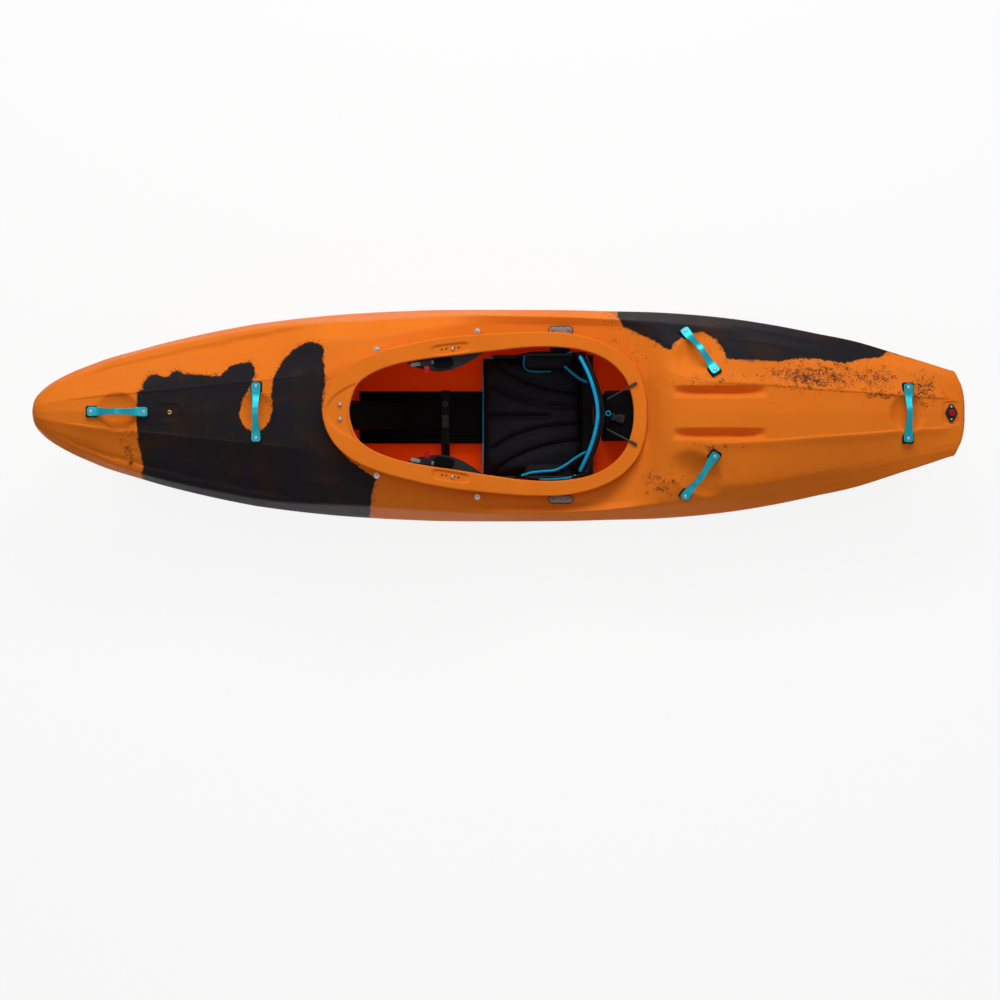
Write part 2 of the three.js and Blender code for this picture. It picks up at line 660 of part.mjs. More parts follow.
// Bolts of the foot rails, in a long shallow dent of the side.
const railBolt = { ahead: 4, spacing: 79, z: 141 };
const railBoltXs = [1, 0].map((step) => rim.front - railBolt.ahead - step * railBolt.spacing);
const railMiddle = (railBoltXs[0] + railBoltXs[1]) / 2;
const railDent = { long: 140, wide: 38, depth: 3 };

// The frame of a place on the hull's side: Z out of the skin, X along the boat.
function sideFrame(x, side) {
  const z = railBolt.z;
  const step = railDent.wide / 2;
  const at = (px, pz) => new THREE.Vector3(px, side * sideBreadth(px, pz), pz);
  const forward = at(x + step, z).sub(at(x - step, z));
  const rise = at(x, z + step).sub(at(x, z - step));
  const out = forward.clone().cross(rise).multiplyScalar(-side);
  return frameAt(at(x, z), forward, out);
}
function bossTop(x, y, proud) {
  return deckHeight(x, y) + proud;
}

// Thigh braces hang from planar bosses under the rim, each in line with a row of five holes.
const brace = {
  base: 208,
  recessLong: 108,
  recessWide: 29,
  recessDepth: 4,
  bossLong: 128,
  bossWide: 24,
  bossDrop: 25,
  thick: 6,
  lip: 18,
  lipThick: 6,
  travel: 20,
  slotWidth: 7.4,
  holePitch: 12,
  holeRadius: 2.6,
  windowLong: 54,
  windowWide: 20,
  windowX: -22,
  windowY: 37,
  nut: 6,
  nutHeight: 5,
};
const [braceX, braceY] = onRim([0.3939, 0.7695]);
const braceTurn = 0.155;
const braceHolePairs = 2;
const braceWing = { front: 135, back: 110, inwards: 60, outwards: 8 };
// The inner edge from front to back: shares of the wing's front or back, and of its reach inwards.
const braceShares = [
  [-1, 0.12], [-0.96, 0.4], [-0.75, 0.66], [-0.5, 0.86], [-0.27, 0.98], [0, 0.97], [0.3, 0.84],
  [0.65, 0.6], [0.92, 0.36], [1, 0.1],
];
// The brace's frame: X down the rim's slope to the back, Z out of the rim, at the recess floor.
function braceFrame(side) {
  const half = brace.base / 2;
  const slope = Math.atan2(rimTop(braceX - half) - rimTop(braceX + half), brace.base);
  const origin = new THREE.Vector3(braceX, side * braceY, rimTop(braceX) - brace.recessDepth);
  const flat = new THREE.Vector3(Math.cos(braceTurn), side * Math.sin(braceTurn), 0);
  const direction = flat.multiplyScalar(Math.cos(slope)).setZ(-Math.sin(slope));
  return frameAt(origin, direction, new THREE.Vector3(0, 0, 1));
}
const inFrame = (frame, x, y, z) => frame.clone().multiply(moved(x, y, z));
const braceTop = -brace.bossDrop - fit;
function braceBody(side) {
  const { front, back, inwards, outwards } = braceWing;
  const inner = braceShares.map(([u, v]) => [u * (u < 0 ? front : back), -side * v * inwards]);
  const outer = [[back, side * fit], [0, side * outwards], [-front, (-side * brace.lipThick) / 2]];
  const frame = braceFrame(side);
  const low = braceTop - brace.thick;
  const plate = slab(shapeOf([...inner, ...outer]), brace.thick, inFrame(frame, 0, 0, low));
  const lipInner = inner.slice(1, -1);
  const lipOuter = lipInner.map(([u, v]) => [u, v + side * brace.lipThick]).reverse();
  const lipPlace = inFrame(frame, 0, 0, braceTop - brace.lip);
  const lip = slab(shapeOf([...lipInner, ...lipOuter]), brace.lip, lipPlace);
  const slotLong = 2 * brace.travel + brace.slotWidth + 2 * fit;
  const slotPlace = inFrame(frame, 0, 0, low - brace.thick);
  const slot = slab(stadium(slotLong, brace.slotWidth), brace.thick * 3, slotPlace);
  const windowAt = inFrame(frame, brace.windowX, -side * brace.windowY, low - brace.thick);
  const windowCut = slab(stadium(brace.windowLong, brace.windowWide), brace.thick * 3, windowAt);
  return plate.add(lip).subtract(slot).subtract(windowCut);
}
const braceGrip = brace.bossDrop + brace.thick + 3 * fit;
function braceBolt(side) {
  const frame = braceFrame(side);
  const nutPlace = inFrame(frame, 0, 0, -braceGrip - brace.nutHeight / 2);
  const nut = rod(brace.nut, brace.nutHeight, nutPlace, 6);
  return boltBody(inFrame(frame, 0, 0, fit), braceGrip + brace.nutHeight + bolt.shank).add(nut);
}

// Ratchets on the thigh braces: a bridge over a ladder strap, and a lever on a barrel beside it.
const ratchet = { x: -82, y: 30, long: 34, wide: 18, high: 9, roof: 3, barrel: 2.8 };
const ladder = { from: -126, to: -56, wide: 11, thick: 2.2 };
const lever = { long: 20, wide: 16, thick: 3 };
function ratchetFrame(side) {
  return inFrame(braceFrame(side), ratchet.x, -side * ratchet.y, braceTop + fit);
}
function ratchetBody(side) {
  const { long, wide, high, roof } = ratchet;
  const frame = ratchetFrame(side);
  const block = boxOf(long, wide, high, inFrame(frame, 0, 0, high / 2));
  const channel = high - roof;
  return block.subtract(boxOf(long * 2, ladder.wide + 2 * fit, channel * 2, frame));
}
function ladderStrap(side) {
  const frame = inFrame(braceFrame(side), 0, -side * ratchet.y, braceTop + fit);
  const long = ladder.to - ladder.from;
  const middle = (ladder.to + ladder.from) / 2;
  return boxOf(long, ladder.wide, ladder.thick, inFrame(frame, middle, 0, ladder.thick / 2));
}
// The lever's barrel lies against the bridge's inner side, along the brace.
function leverFrame(side) {
  const { wide, high, barrel } = ratchet;
  return inFrame(ratchetFrame(side), 0, -side * (wide / 2 + barrel + fit), high - barrel);
}
function leverBody(side) {
  const { barrel } = ratchet;
  const frame = leverFrame(side);
  const barrelPlace = frame.clone().multiply(turned(0, 0, 0, 0, quarterTurn, 0));
  const tongue = inFrame(frame, 0, (-side * lever.long) / 2, barrel - lever.thick / 2);
  return rod(barrel, lever.wide, barrelPlace, 8).add(boxOf(lever.wide, lever.long, lever.thick, tongue));
}

// Everything inside is cut to this body, so that it lies a clearance off the shell's inner face.
const inside = hollowBody(wall + fit);

// A foam wall along the middle from the floor to the deck, as an outline in X and Z.
function foamWall(outline, halfWidth) {
  const upright = new THREE.Matrix4().makeRotationX(quarterTurn).setPosition(0, halfWidth, 0);
  return slab(shapeOf(outline), 2 * halfWidth, upright).intersect(inside);
}
// Distances run back from the rim's front, or ahead of its back.
const beam = { fromFront: 78, fromBack: 233, half: 80, top: 46, ridge: 4, ridgeWide: 12, ridgeGap: 12 };
const beamFront = rim.front + beam.fromFront;
const beamBack = rimBack - beam.fromBack;
const frontPillar = {
  ahead: 122,
  foot: 228,
  footHigh: 50,
  brow: 123,
  browTop: 240,
  head: 48,
  headTop: 350,
  half: 38,
};
const rearPillar = { ahead: 121, wideLong: 122, wide: 72, narrow: 38, top: 236, lap: 35, behind: 16 };
const rearPillarX = rimBack - rearPillar.ahead;

function centreBeam() {
  const { half, top, ridge, ridgeWide, ridgeGap } = beam;
  const middle = (beamFront + beamBack) / 2;
  const long = beamBack - beamFront;
  let body = boxOf(long, half * 2, top - ridge, moved(middle, 0, (top - ridge) / 2));
  for (const [, side] of sides) {
    for (const row of [0, 1]) {
      const y = side * (half - ridgeWide / 2 - row * (ridgeWide + ridgeGap));
      body = body.add(boxOf(long, ridgeWide, ridge * 2, moved(middle, y, top - ridge)));
    }
  }
  return body.intersect(inside);
}
function frontPillarBody() {
  const { ahead, foot, footHigh, brow, browTop, head, headTop, half } = frontPillar;
  const floor = beam.top + fit;
  const from = rim.front - ahead;
  const at = (back) => rim.front + back;
  return foamWall([
    [from, -wall], [beamFront - fit, -wall], [beamFront - fit, floor], [at(foot), floor],
    [at(foot), floor + footHigh], [at(brow), browTop], [at(head), headTop],
    [at(head), boatHeight], [from, boatHeight],
  ], half);
}
function rearPillarBody() {
  const { wideLong, wide, narrow, top, lap, behind } = rearPillar;
  const from = rearPillarX;
  const wideTo = from + wideLong;
  const open = wideTo - lap;
  const climb = rimBack + behind;
  const to = rearDeckAt(deckPlaceShares.pillar);
  const wideWall = foamWall([[from, -wall], [wideTo, -wall], [wideTo, top], [from, top]], wide);
  const longWall = foamWall([
    [open, -wall], [to, -wall], [to, boatHeight], [climb, boatHeight], [climb, top], [open, top],
  ], narrow);
  return wideWall.add(longWall);
}

// A webbing strap over the beam, with its tail out to port, and a side release buckle on it.
const strap = { wide: 26, thick: 2.4, tail: 44 };
const [strapX] = onRim([0.3622, 0]);
const buckle = { y: -14, long: 42, wide: 24, high: 8, waist: 16, part: 15 };
function beamStrap() {
  const top = beam.top + fit;
  const out = beam.half + fit;
  const t = strap.thick;
  const floor = boatHeight * along(keelShares, shareAt(strapX)) + wall + 2 * fit;
  const outline = shapeOf([
    [out, floor], [out + t, floor], [out + t, top + t], [-out - t, top + t],
    [-out - strap.tail - t, floor], [-out - strap.tail, floor], [-out, top], [out, top],
  ]);
  const place = new THREE.Matrix4().makeBasis(
    new THREE.Vector3(0, 1, 0), new THREE.Vector3(0, 0, 1), new THREE.Vector3(1, 0, 0),
  );
  return slab(outline, strap.wide, place.setPosition(strapX - strap.wide / 2, 0, 0)).intersect(inside);
}
function strapBuckle() {
  const low = beam.top + strap.thick + 2 * fit;
  const { y, long, wide, high, waist, part } = buckle;
  const outline = shapeOf([
    [-wide / 2, -long / 2], [wide / 2, -long / 2], [wide / 2, 0], [waist / 2, part / 2],
    [wide / 2, part], [wide / 2, long / 2], [-wide / 2, long / 2], [-wide / 2, part],
    [-waist / 2, part / 2], [-wide / 2, 0],
  ]);
  return slab(outline, high, moved(strapX, y, low));
}

// Foot rest: a plate across the bow with an arm on each side that slides along a rail.
const footrest = { ahead: 217, thick: 22, low: 62, high: 300, sideGap: 30.7, margin: 14 };
const footX = rim.front - footrest.ahead;
const footHalf = sideBreadth(footX, railBolt.z) - footrest.sideGap;
const footArm = { thick: 6, high: 24 };
const rail = { ahead: 172, long: 198, high: 34, gap: 0.4 };
function footrestBody() {
  const { ahead, thick, low, high, margin } = footrest;
  const plate = boxOf(thick, footHalf * 2, high - low, moved(footX + thick / 2, 0, (low + high) / 2));
  let body = plate.intersect(hollowBody(wall + margin));
  for (const [, side] of sides) {
    const long = ahead - rail.ahead + rail.long;
    const at = moved(footX + long / 2, side * (footHalf - footArm.thick / 2), railBolt.z);
    body = body.add(boxOf(long, footArm.thick, footArm.high, at));
  }
  return body;
}
function railBody(side) {
  const from = footHalf + rail.gap;
  const reach = halfBeam - from;
  const x = rim.front - rail.ahead + rail.long / 2;
  const middle = moved(x, side * (from + reach / 2), railBolt.z);
  let body = boxOf(rail.long, reach, rail.high, middle).intersect(inside);
  for (const at of railBoltXs) body = body.subtract(boltHole(railBoltFrame(at, side), bolt.length * 2));
  return body;
}

// Seat: a ribbed pan that straddles the beam, with hip walls, a cushion and two hip pads.
const pan = {
  behind: 149,
  long: 310,
  half: 190,
  roof: 7,
  rib: 8,
  sill: 70,
  heel: 166,
  cheek: 8,
  hipLong: 222,
  hipInset: 18,
  hipTop: 152,
};
const panBack = rimBack - pan.behind;
const panFront = panBack - pan.long;
const hipBack = panBack - pan.hipInset;
const hipFront = hipBack - pan.hipLong;
const pivot = { inset: 45, z: 160, ear: 17, pin: 5, clearance: 0.4 };
const pivotX = panBack - pivot.inset;
const earTurn = 0.314;
function panBody() {
  const low = wall + fit;
  const under = beam.top + fit;
  const top = under + pan.roof;
  const inner = beam.half + 2 * fit;
  const right = [
    [inner, under], [inner, low], [inner + pan.rib, low], [inner + pan.rib, under],
    [pan.heel - pan.rib, under], [pan.heel - pan.rib, low], [pan.heel, low],
    [pan.half - pan.rib / 2, low + pan.rib * 2], [pan.half, pan.sill],
    [pan.half - pan.cheek, pan.sill], [pan.half - pan.cheek, top],
  ];
  const left = right.map(([y, z]) => [-y, z]).reverse();
  const place = new THREE.Matrix4().makeBasis(
    new THREE.Vector3(0, 1, 0), new THREE.Vector3(0, 0, 1), new THREE.Vector3(1, 0, 0),
  );
  let body = slab(shapeOf([...right, ...left]), pan.long, place.setPosition(panFront, 0, 0));
  for (const [, side] of sides) body = body.add(hipWall(side)).subtract(pivotHole(side));
  return body;
}
// A hip wall in X and Z, with a round ear for the backband's pivot.
function hipWall(side) {
  const { hipTop, sill, cheek, half } = pan;
  const outline = new THREE.Shape();
  outline.moveTo(hipFront, sill - cheek);
  outline.lineTo(hipFront + cheek * 3, hipTop - cheek);
  outline.lineTo(hipFront + cheek * 4, hipTop);
  outline.lineTo(pivotX - pivot.ear - cheek, hipTop);
  outline.absarc(pivotX, pivot.z, pivot.ear, halfTurn - earTurn, 0, true);
  outline.lineTo(hipBack, sill - cheek);
  const wallPlace = new THREE.Matrix4().makeRotationX(quarterTurn);
  const y = side > 0 ? half : -half + cheek;
  return slab(new THREE.Shape(outline.getPoints(5)), cheek, wallPlace.setPosition(0, y, 0));
}
const acrossY = (x, y, z) => turned(x, y, z, quarterTurn, 0, 0);
function pivotHole(side) {
  return rod(pivot.pin + pivot.clearance, pan.cheek * 4, acrossY(pivotX, side * pan.half, pivot.z), 12);
}

const cushionCornerShare = 0.07;
// A cushion over a plan rectangle with round corners: a crown, sides drawn in to a seam, a flat
// underside, and channels given as lines of [x, y] along which the top is sewn down.
function cushion({ long, wide, thick, crown, seam }, [nx, ny], channels, channel) {
  const at = (i, j) => {
    const [u, v] = [(2 * i) / nx - 1, (2 * j) / ny - 1];
    const squeeze = 1 - cushionCornerShare * u ** 2 * v ** 2;
    const [x, y] = [(long / 2) * u * squeeze, (wide / 2) * v * squeeze];
    const rise = Math.sqrt((1 - u ** 4) * (1 - v ** 4));
    const sewn = channels.reduce((most, line) => {
      return Math.max(most, 1 - smooth(distanceTo(line, x, y) / channel.width));
    }, 0);
    const lift = (thick - seam) * smooth(rise * 2) + crown * rise - channel.depth * sewn * rise;
    return new THREE.Vector3(x, y, seam + lift);
  };
  const vertices = [];
  for (let i = 0; i <= nx; i++) for (let j = 0; j <= ny; j++) vertices.push(at(i, j));
  const id = (i, j) => i * (ny + 1) + j;
  const faces = [];
  for (let i = 0; i < nx; i++) {
    for (let j = 0; j < ny; j++) {
      const [a, b] = [id(i, j), id(i + 1, j + 1)];
      faces.push([a, id(i + 1, j), b], [a, b, id(i, j + 1)]);
    }
  }
  const edge = [];
  for (let i = 0; i < nx; i++) edge.push(id(i, 0));
  for (let j = 0; j < ny; j++) edge.push(id(nx, j));
  for (let i = nx; i > 0; i--) edge.push(id(i, ny));
  for (let j = ny; j > 0; j--) edge.push(id(0, j));
  const base = vertices.length;
  const inset = 1 - seam / wide;
  edge.forEach((e) => {
    const v = vertices[e];
    vertices.push(new THREE.Vector3(v.x * inset, v.y * inset, 0));
  });
  vertices.push(new THREE.Vector3(0, 0, 0));
  edge.forEach((e, i) => {
    const next = (i + 1) % edge.length;
    faces.push([e, base + i, edge[next]], [edge[next], base + i, base + next]);
    faces.push([base + i, vertices.length - 1, base + next]);
  });
  return solidOf(vertices, faces);
}
// The distance in plan from a point to a line of straights.
function distanceTo(line, x, y) {
  let least = Infinity;
  for (let i = 0; i + 1 < line.length; i++) {
    const [[ax, ay], [bx, by]] = [line[i], line[i + 1]];
    const [dx, dy] = [bx - ax, by - ay];
    const share = ((x - ax) * dx + (y - ay) * dy) / (dx * dx + dy * dy);
    const s = Math.min(Math.max(share, 0), 1);
    least = Math.min(least, Math.hypot(x - ax - s * dx, y - ay - s * dy));
  }
  return least;
}
const pad = { ahead: 26, long: 300, wide: 354, thick: 26, crown: 9, seam: 11.7 };
const padSteps = [26, 24];
const padChannel = { width: 15, depth: 7 };
// Sewn lines as shares of half the pad's length and half its width, from back to front.
const padLineShares = [
  [[1, 0.14], [0.32, 0.19], [-0.04, 0.25], [-0.44, 0.37], [-0.8, 0.55]],
  [[0.9, 0.43], [0.36, 0.49], [-0.12, 0.62], [-0.5, 0.78], [-0.74, 0.93]],
];
const padCentreShares = [[-0.9, 0], [0.3, 0]];
function padLines() {
  const scaled = (line, side) => line.map(([u, v]) => [(u * pad.long) / 2, (side * v * pad.wide) / 2]);
  const pairs = sides.flatMap(([, side]) => padLineShares.map((line) => scaled(line, side)));
  return [scaled(padCentreShares, 1), ...pairs];
}
const panTop = beam.top + fit + pan.roof;
function seatPad() {
  const body = cushion(pad, padSteps, padLines(), padChannel);
  return body.transform(moved(panFront - pad.ahead + pad.long / 2, 0, panTop + fit).elements);
}
const hipPad = { long: 150, wide: 62, thick: 24, crown: 9, seam: 9.6, inset: 26, low: 86 };
const hipPadSteps = [12, 6];
const hipPadChannel = { width: 10, depth: 4 };
const hipLineShares = [[-0.7, 0], [0.7, 0]];
function hipPadBody(side) {
  const line = hipLineShares.map(([u, v]) => [(u * hipPad.long) / 2, (v * hipPad.wide) / 2]);
  const body = cushion(hipPad, hipPadSteps, [line], hipPadChannel);
  const y = side * (pan.half - pan.cheek - fit);
  const x = hipFront + hipPad.inset + hipPad.long / 2;
  const origin = new THREE.Vector3(x, y, hipPad.low + hipPad.wide / 2);
  const place = frameAt(origin, new THREE.Vector3(1, 0, 0), new THREE.Vector3(0, -side, 0));
  return body.transform(place.elements);
}

// Backband: a bent plate on two stub pins in the ears, with a padded band on its front.
const band = { behind: 46, sweep: 53, half: 172, low: 166, top: 306, pad: 18, plate: 4, edge: 5 };
const bandSteps = 16;
const bandPower = 1.7;
// How far the pad's ends thin down, and their height falls, as shares
const bandEndShares = { thin: 0.45, fall: 0.3 };
const armWide = 20;
function bandFront(y) {
  return pivotX + band.behind - band.sweep * (Math.abs(y) / band.half) ** bandPower;
}
// A band swept across the boat: outline gives its section at a share of its half width.
function bandBody(outline) {
  const rings = [];
  for (let i = 0; i <= bandSteps; i++) {
    const u = (2 * i) / bandSteps - 1;
    const y = band.half * u;
    const x = bandFront(y);
    rings.push(outline(u).map(([back, z]) => new THREE.Vector3(x + back, y, z)));
  }
  return loft(rings);
}
function backbandPad() {
  const { low, top, pad: thick, edge: e } = band;
  return bandBody((u) => {
    const f = thick * bandEndShares.thin * u ** 6;
    const high = low + (top - low) * (1 - bandEndShares.fall * u ** 4);
    return [
      [f + e, low], [f, low + e * 2], [f - e / 2, (low + high) / 2], [f, high - e * 2],
      [f + e, high], [thick - e, high], [thick, high - e * 2], [thick, low + e * 2], [thick - e, low],
    ];
  });
}
function backbandPlate() {
  const front = band.pad + fit;
  const inset = band.edge * 3;
  const [low, high] = [band.low + inset, band.top - inset * 3];
  const back = front + band.plate;
  let body = bandBody(() => [[front, low], [front, high], [back, high], [back, low]]);
  for (const [, side] of sides) {
    const y = side * (pan.half - pan.cheek - pivot.clearance - band.plate / 2);
    const armHigh = band.low + inset * 3 - pivot.z + armWide / 2;
    const armAt = moved(pivotX + band.edge, y, pivot.z - armWide / 2 + armHigh / 2);
    body = body.add(boxOf(armWide + band.edge, band.plate, armHigh, armAt));
    const bridgeX = bandFront(band.half) + back;
    const bridgeWide = Math.abs(y) - band.half + band.plate;
    const bridgeAt = moved(bridgeX, y - (side * bridgeWide) / 2, band.low + inset * 2);
    body = body.add(boxOf(band.plate, bridgeWide, inset * 2, bridgeAt));
    const pinLong = pan.cheek + band.plate;
    body = body.add(rod(pivot.pin, pinLong, acrossY(pivotX, y + (side * pinLong) / 2, pivot.z), 12));
  }
  return body;
}

// Two elastic cords hold the band's tail: from the rear pillar over the rim, with sleeved ends.
const bungee = { radius: 2.4, sleeve: 4.2, sleeveLong: 24 };
const bungeeSides = 8;
const bungeeFootShare = 0.62;
const [bungeeX, bungeeY] = onRim([0.9673, 0.3786]);
function bungeeCord(side) {
  const footY = side * rearPillar.wide * bungeeFootShare;
  const footZ = rearPillar.top + fit + bungee.radius;
  const foot = new THREE.Vector3(rearPillarX + bungee.sleeve, footY, footZ);
  const end = new THREE.Vector3(bungeeX, side * bungeeY, rimTop(bungeeX) + fit + bungee.sleeve);
  const start = end.clone().sub(foot).setLength(bungee.sleeveLong).negate().setZ(0).add(end);
  return tubeBetween(foot, start, bungee.radius).add(tubeBetween(start, end, bungee.sleeve));
}
function tubeBetween(a, b, radius) {
  const middle = a.clone().add(b).multiplyScalar(0.5);
  const frame = frameAt(middle, b.clone().sub(a), new THREE.Vector3(0, 0, 1));
  const place = frame.multiply(turned(0, 0, 0, 0, quarterTurn, 0));
  return rod(radius, a.distanceTo(b) + radius / 2, place, bungeeSides);
}

// Seat hangers: a plate on the deck, two screws through it and a bracket down to the hip wall.
const hanger = { thick: 6, wide: 60, low: 64, bend: 150, flange: 16 };
function hangerBody(side) {
  const deck = deckHeight(hangerX, hangerY);
  const plateLow = deck + hangerPlate.proud + fit;
  const outline = stadium(hangerPlate.long, hangerPlate.wide);
  let body = slab(outline, hangerPlate.thick, moved(hangerX, side * hangerY, plateLow));
  const legIn = pan.half + fit;
  const legOut = legIn + hanger.thick;
  const reach = hangerY + hanger.flange;
  const start = hangerY - hanger.flange;
  const low = deck - wall - hanger.thick;
  const top = deck + hangerPlate.proud - wall - fit;
  const under = low - hanger.thick;
  const points = [
    [legIn, hanger.low], [legOut, hanger.low], [legOut, hanger.bend], [start + hanger.thick, under],
    [reach, under], [reach, top], [start, top], [legIn, hanger.bend],
  ];
  const place = new THREE.Matrix4().makeBasis(
    new THREE.Vector3(0, side, 0), new THREE.Vector3(0, 0, 1), new THREE.Vector3(side, 0, 0),
  );
  place.setPosition(hangerX - (side * hanger.wide) / 2, 0, 0);
  body = body.add(slab(shapeOf(points), hanger.wide, place).intersect(inside));
  for (const end of [-1, 1]) {
    const x = hangerX + end * (hangerPlate.long / 2 - hangerPlate.inset);
    const headAt = moved(x, side * hangerY, plateLow + hangerPlate.thick);
    body = body.add(boltBody(headAt, hangerPlate.thick + wall * 3));
  }
  return body;
}

function hullShell() {
  let outer = outerBody();
  for (const dish of dishes) outer = outer.subtract(dishBody(dish, 0));
  let hollow = hollowBody(wall);
  for (const dish of dishes) hollow = hollow.subtract(dishBody(dish, wall));
  let shell = outer.subtract(hollow).subtract(cockpitCut()).add(rimBody());
  // Bosses under the handles, with their bolt holes
  for (const middle of Object.values(handleMiddles)) {
    const frame = handleFrame(middle);
    for (const end of [-1, 1]) {
      const foot = inFrame(frame, (end * handle.span) / 2, 0, -fit);
      const room = inFrame(foot, 0, 0, boss.pocket / 2);
      shell = shell.subtract(boxOf(boss.pocketLong, boss.size, boss.pocket, room));
      shell = shell.add(boxOf(boss.size, boss.size, boss.depth, inFrame(foot, 0, 0, -boss.depth / 2)));
      shell = shell.subtract(boltHole(foot, 2 * boss.pocket));
    }
  }
  // The camera mount's square and hole
  const { long, wide, sunk, radius: insertRadius, deep } = cameraMount;
  const square = moved(cameraX, 0, cameraFloor() + sunk);
  shell = shell.add(rod(insertRadius + wall, deep, moved(cameraX, 0, cameraFloor() - deep / 2)));
  shell = shell.subtract(boxOf(long, wide, sunk * 2, square));
  shell = shell.subtract(rod(insertRadius + fit, deep * 4, moved(cameraX, 0, cameraFloor()), 12));
  // The drain's seat and hole
  const seatAt = drainTop() - drain.thick - fit;
  const seatRoom = moved(drainX, 0, seatAt + overrun / 2);
  shell = shell.subtract(boxOf(drain.long + 2 * fit, drain.wide + 2 * fit, overrun, seatRoom));
  shell = shell.subtract(rod(drain.bore, drain.shankLength * 4, moved(drainX, 0, seatAt), 16));
  for (const [, side] of sides) {
    // Deck bolts on round bosses, and the rim's front bolts
    for (const [, bx, by] of deckBolts) {
      const top = bossTop(bx, by, deckBoss.proud);
      const at = moved(bx, side * by, top - deckBoss.depth / 2);
      shell = shell.add(rod(deckBoss.radius, deckBoss.depth, at, 12));
      shell = shell.subtract(boltHole(moved(bx, side * by, top - bolt.length)));
    }
    shell = shell.subtract(boltHole(moved(rimBoltX, side * rimBolt.y, rimTop(rimBoltX))));
    // A flat under the hanger plate, with a hole for each screw
    const plateTop = bossTop(hangerX, hangerY, hangerPlate.proud);
    const flat = stadium(hangerPlate.long + wall, hangerPlate.wide + wall);
    const platePlace = moved(hangerX, side * hangerY, plateTop);
    shell = shell.subtract(slab(flat, overrun, platePlace));
    shell = shell.add(slab(flat, wall, inFrame(platePlace, 0, 0, -wall)));
    for (const end of [-1, 1]) {
      const sx = hangerX + end * (hangerPlate.long / 2 - hangerPlate.inset);
      shell = shell.subtract(boltHole(moved(sx, side * hangerY, plateTop)));
    }
    // The dent for the foot rail's bolts, and their holes
    const dentAt = inFrame(sideFrame(railMiddle, side), 0, 0, -railDent.depth);
    shell = shell.subtract(slab(stadium(railDent.long, railDent.wide), railDent.wide, dentAt));
    for (const bx of railBoltXs) {
      shell = shell.subtract(boltHole(railBoltFrame(bx, side)));
    }
    // The thigh brace's boss under the rim, its recess and its row of holes
    const frame = braceFrame(side);
    const bossPlace = inFrame(frame, 0, 0, -brace.bossDrop / 2);
    shell = shell.add(boxOf(brace.bossLong, brace.bossWide, brace.bossDrop, bossPlace));
    shell = shell.subtract(slab(stadium(brace.recessLong, brace.recessWide), overrun, frame));
    const holeLong = 2 * (braceGrip + brace.nutHeight + overrun);
    for (let hole = -braceHolePairs; hole <= braceHolePairs; hole++) {
      const radius = hole ? brace.holeRadius : bolt.shank + bolt.clearance;
      const at = inFrame(frame, hole * brace.holePitch, 0, 0);
      shell = shell.subtract(rod(radius, holeLong, at, 8));
    }
  }
  return shell;
}
// A rail bolt's place: on the floor of the dent, square to it.
function railBoltFrame(x, side) {
  return inFrame(sideFrame(railMiddle, side), x - railMiddle, 0, -railDent.depth + fit);
}

add("hull_shell", hullShell(), orangePlastic);
for (const [name, middle] of Object.entries(handleMiddles)) {
  const frame = handleFrame(middle);
  add("grab_handle_" + name, handleBody().transform(frame.elements), tealAluminium);
  const tops = [-1, 1].map((end) => inFrame(frame, (end * handle.span) / 2, 0, handle.thick + fit));
  tops.forEach((top, i) => add("handle_bolt_" + name + "_" + (i + 1), boltBody(top), stainless));
}
add("camera_insert", cameraInsert(), brass);
add("drain_seat", drainSeat(), blackPlastic);
add("drain_seal", drainSeal(), blackRubber);
add("drain_plug", drainPlug(), redPlastic);
add("plug_shank", plugShank(), redPlastic);
add("centre_beam", centreBeam(), blackFoam);
add("front_pillar", frontPillarBody(), blackFoam);
add("rear_pillar", rearPillarBody(), blackFoam);
add("beam_strap", beamStrap(), blackFabric);
add("strap_buckle", strapBuckle(), blackPlastic);
add("footrest", footrestBody(), blackPlastic);
add("seat_pan", panBody(), blackPlastic);
add("seat_pad", seatPad(), blackFabric);
add("backband_plate", backbandPlate(), blackPlastic);
add("backband_pad", backbandPad(), blackFabric);
for (const [name, side] of sides) {
  for (const [end, x, y] of deckBolts) {
    const top = bossTop(x, y, deckBoss.proud) + fit;
    add("deck_bolt_" + end + "_" + name, boltBody(moved(x, side * y, top)), stainless);
  }
  const rimTopAt = rimTop(rimBoltX) + fit;
  add("rim_bolt_" + name, boltBody(moved(rimBoltX, side * rimBolt.y, rimTopAt), rimBolt.long), stainless);
  railBoltXs.forEach((x, i) => {
    add("rail_bolt_" + name + "_" + (i + 1), boltBody(railBoltFrame(x, side)), stainless);
  });
  add("foot_rail_" + name, railBody(side), blackPlastic);
  add("seat_hanger_" + name, hangerBody(side), greyPlastic);
  add("hip_pad_" + name, hipPadBody(side), blackFabric);
  add("thigh_brace_" + name, braceBody(side), blackPlastic);
  add("brace_bolt_" + name, braceBolt(side), stainless);
  add("ratchet_" + name, ratchetBody(side), blackPlastic);
  add("ladder_strap_" + name, ladderStrap(side), greyPlastic);
  add("ratchet_lever_" + name, leverBody(side), redPlastic);
  add("bungee_cord_" + name, bungeeCord(side), blackRubber);
}

export default kayak;
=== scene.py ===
import json
import math
import bmesh
import bpy
import numpy as np
from mathutils import Matrix, Vector, noise


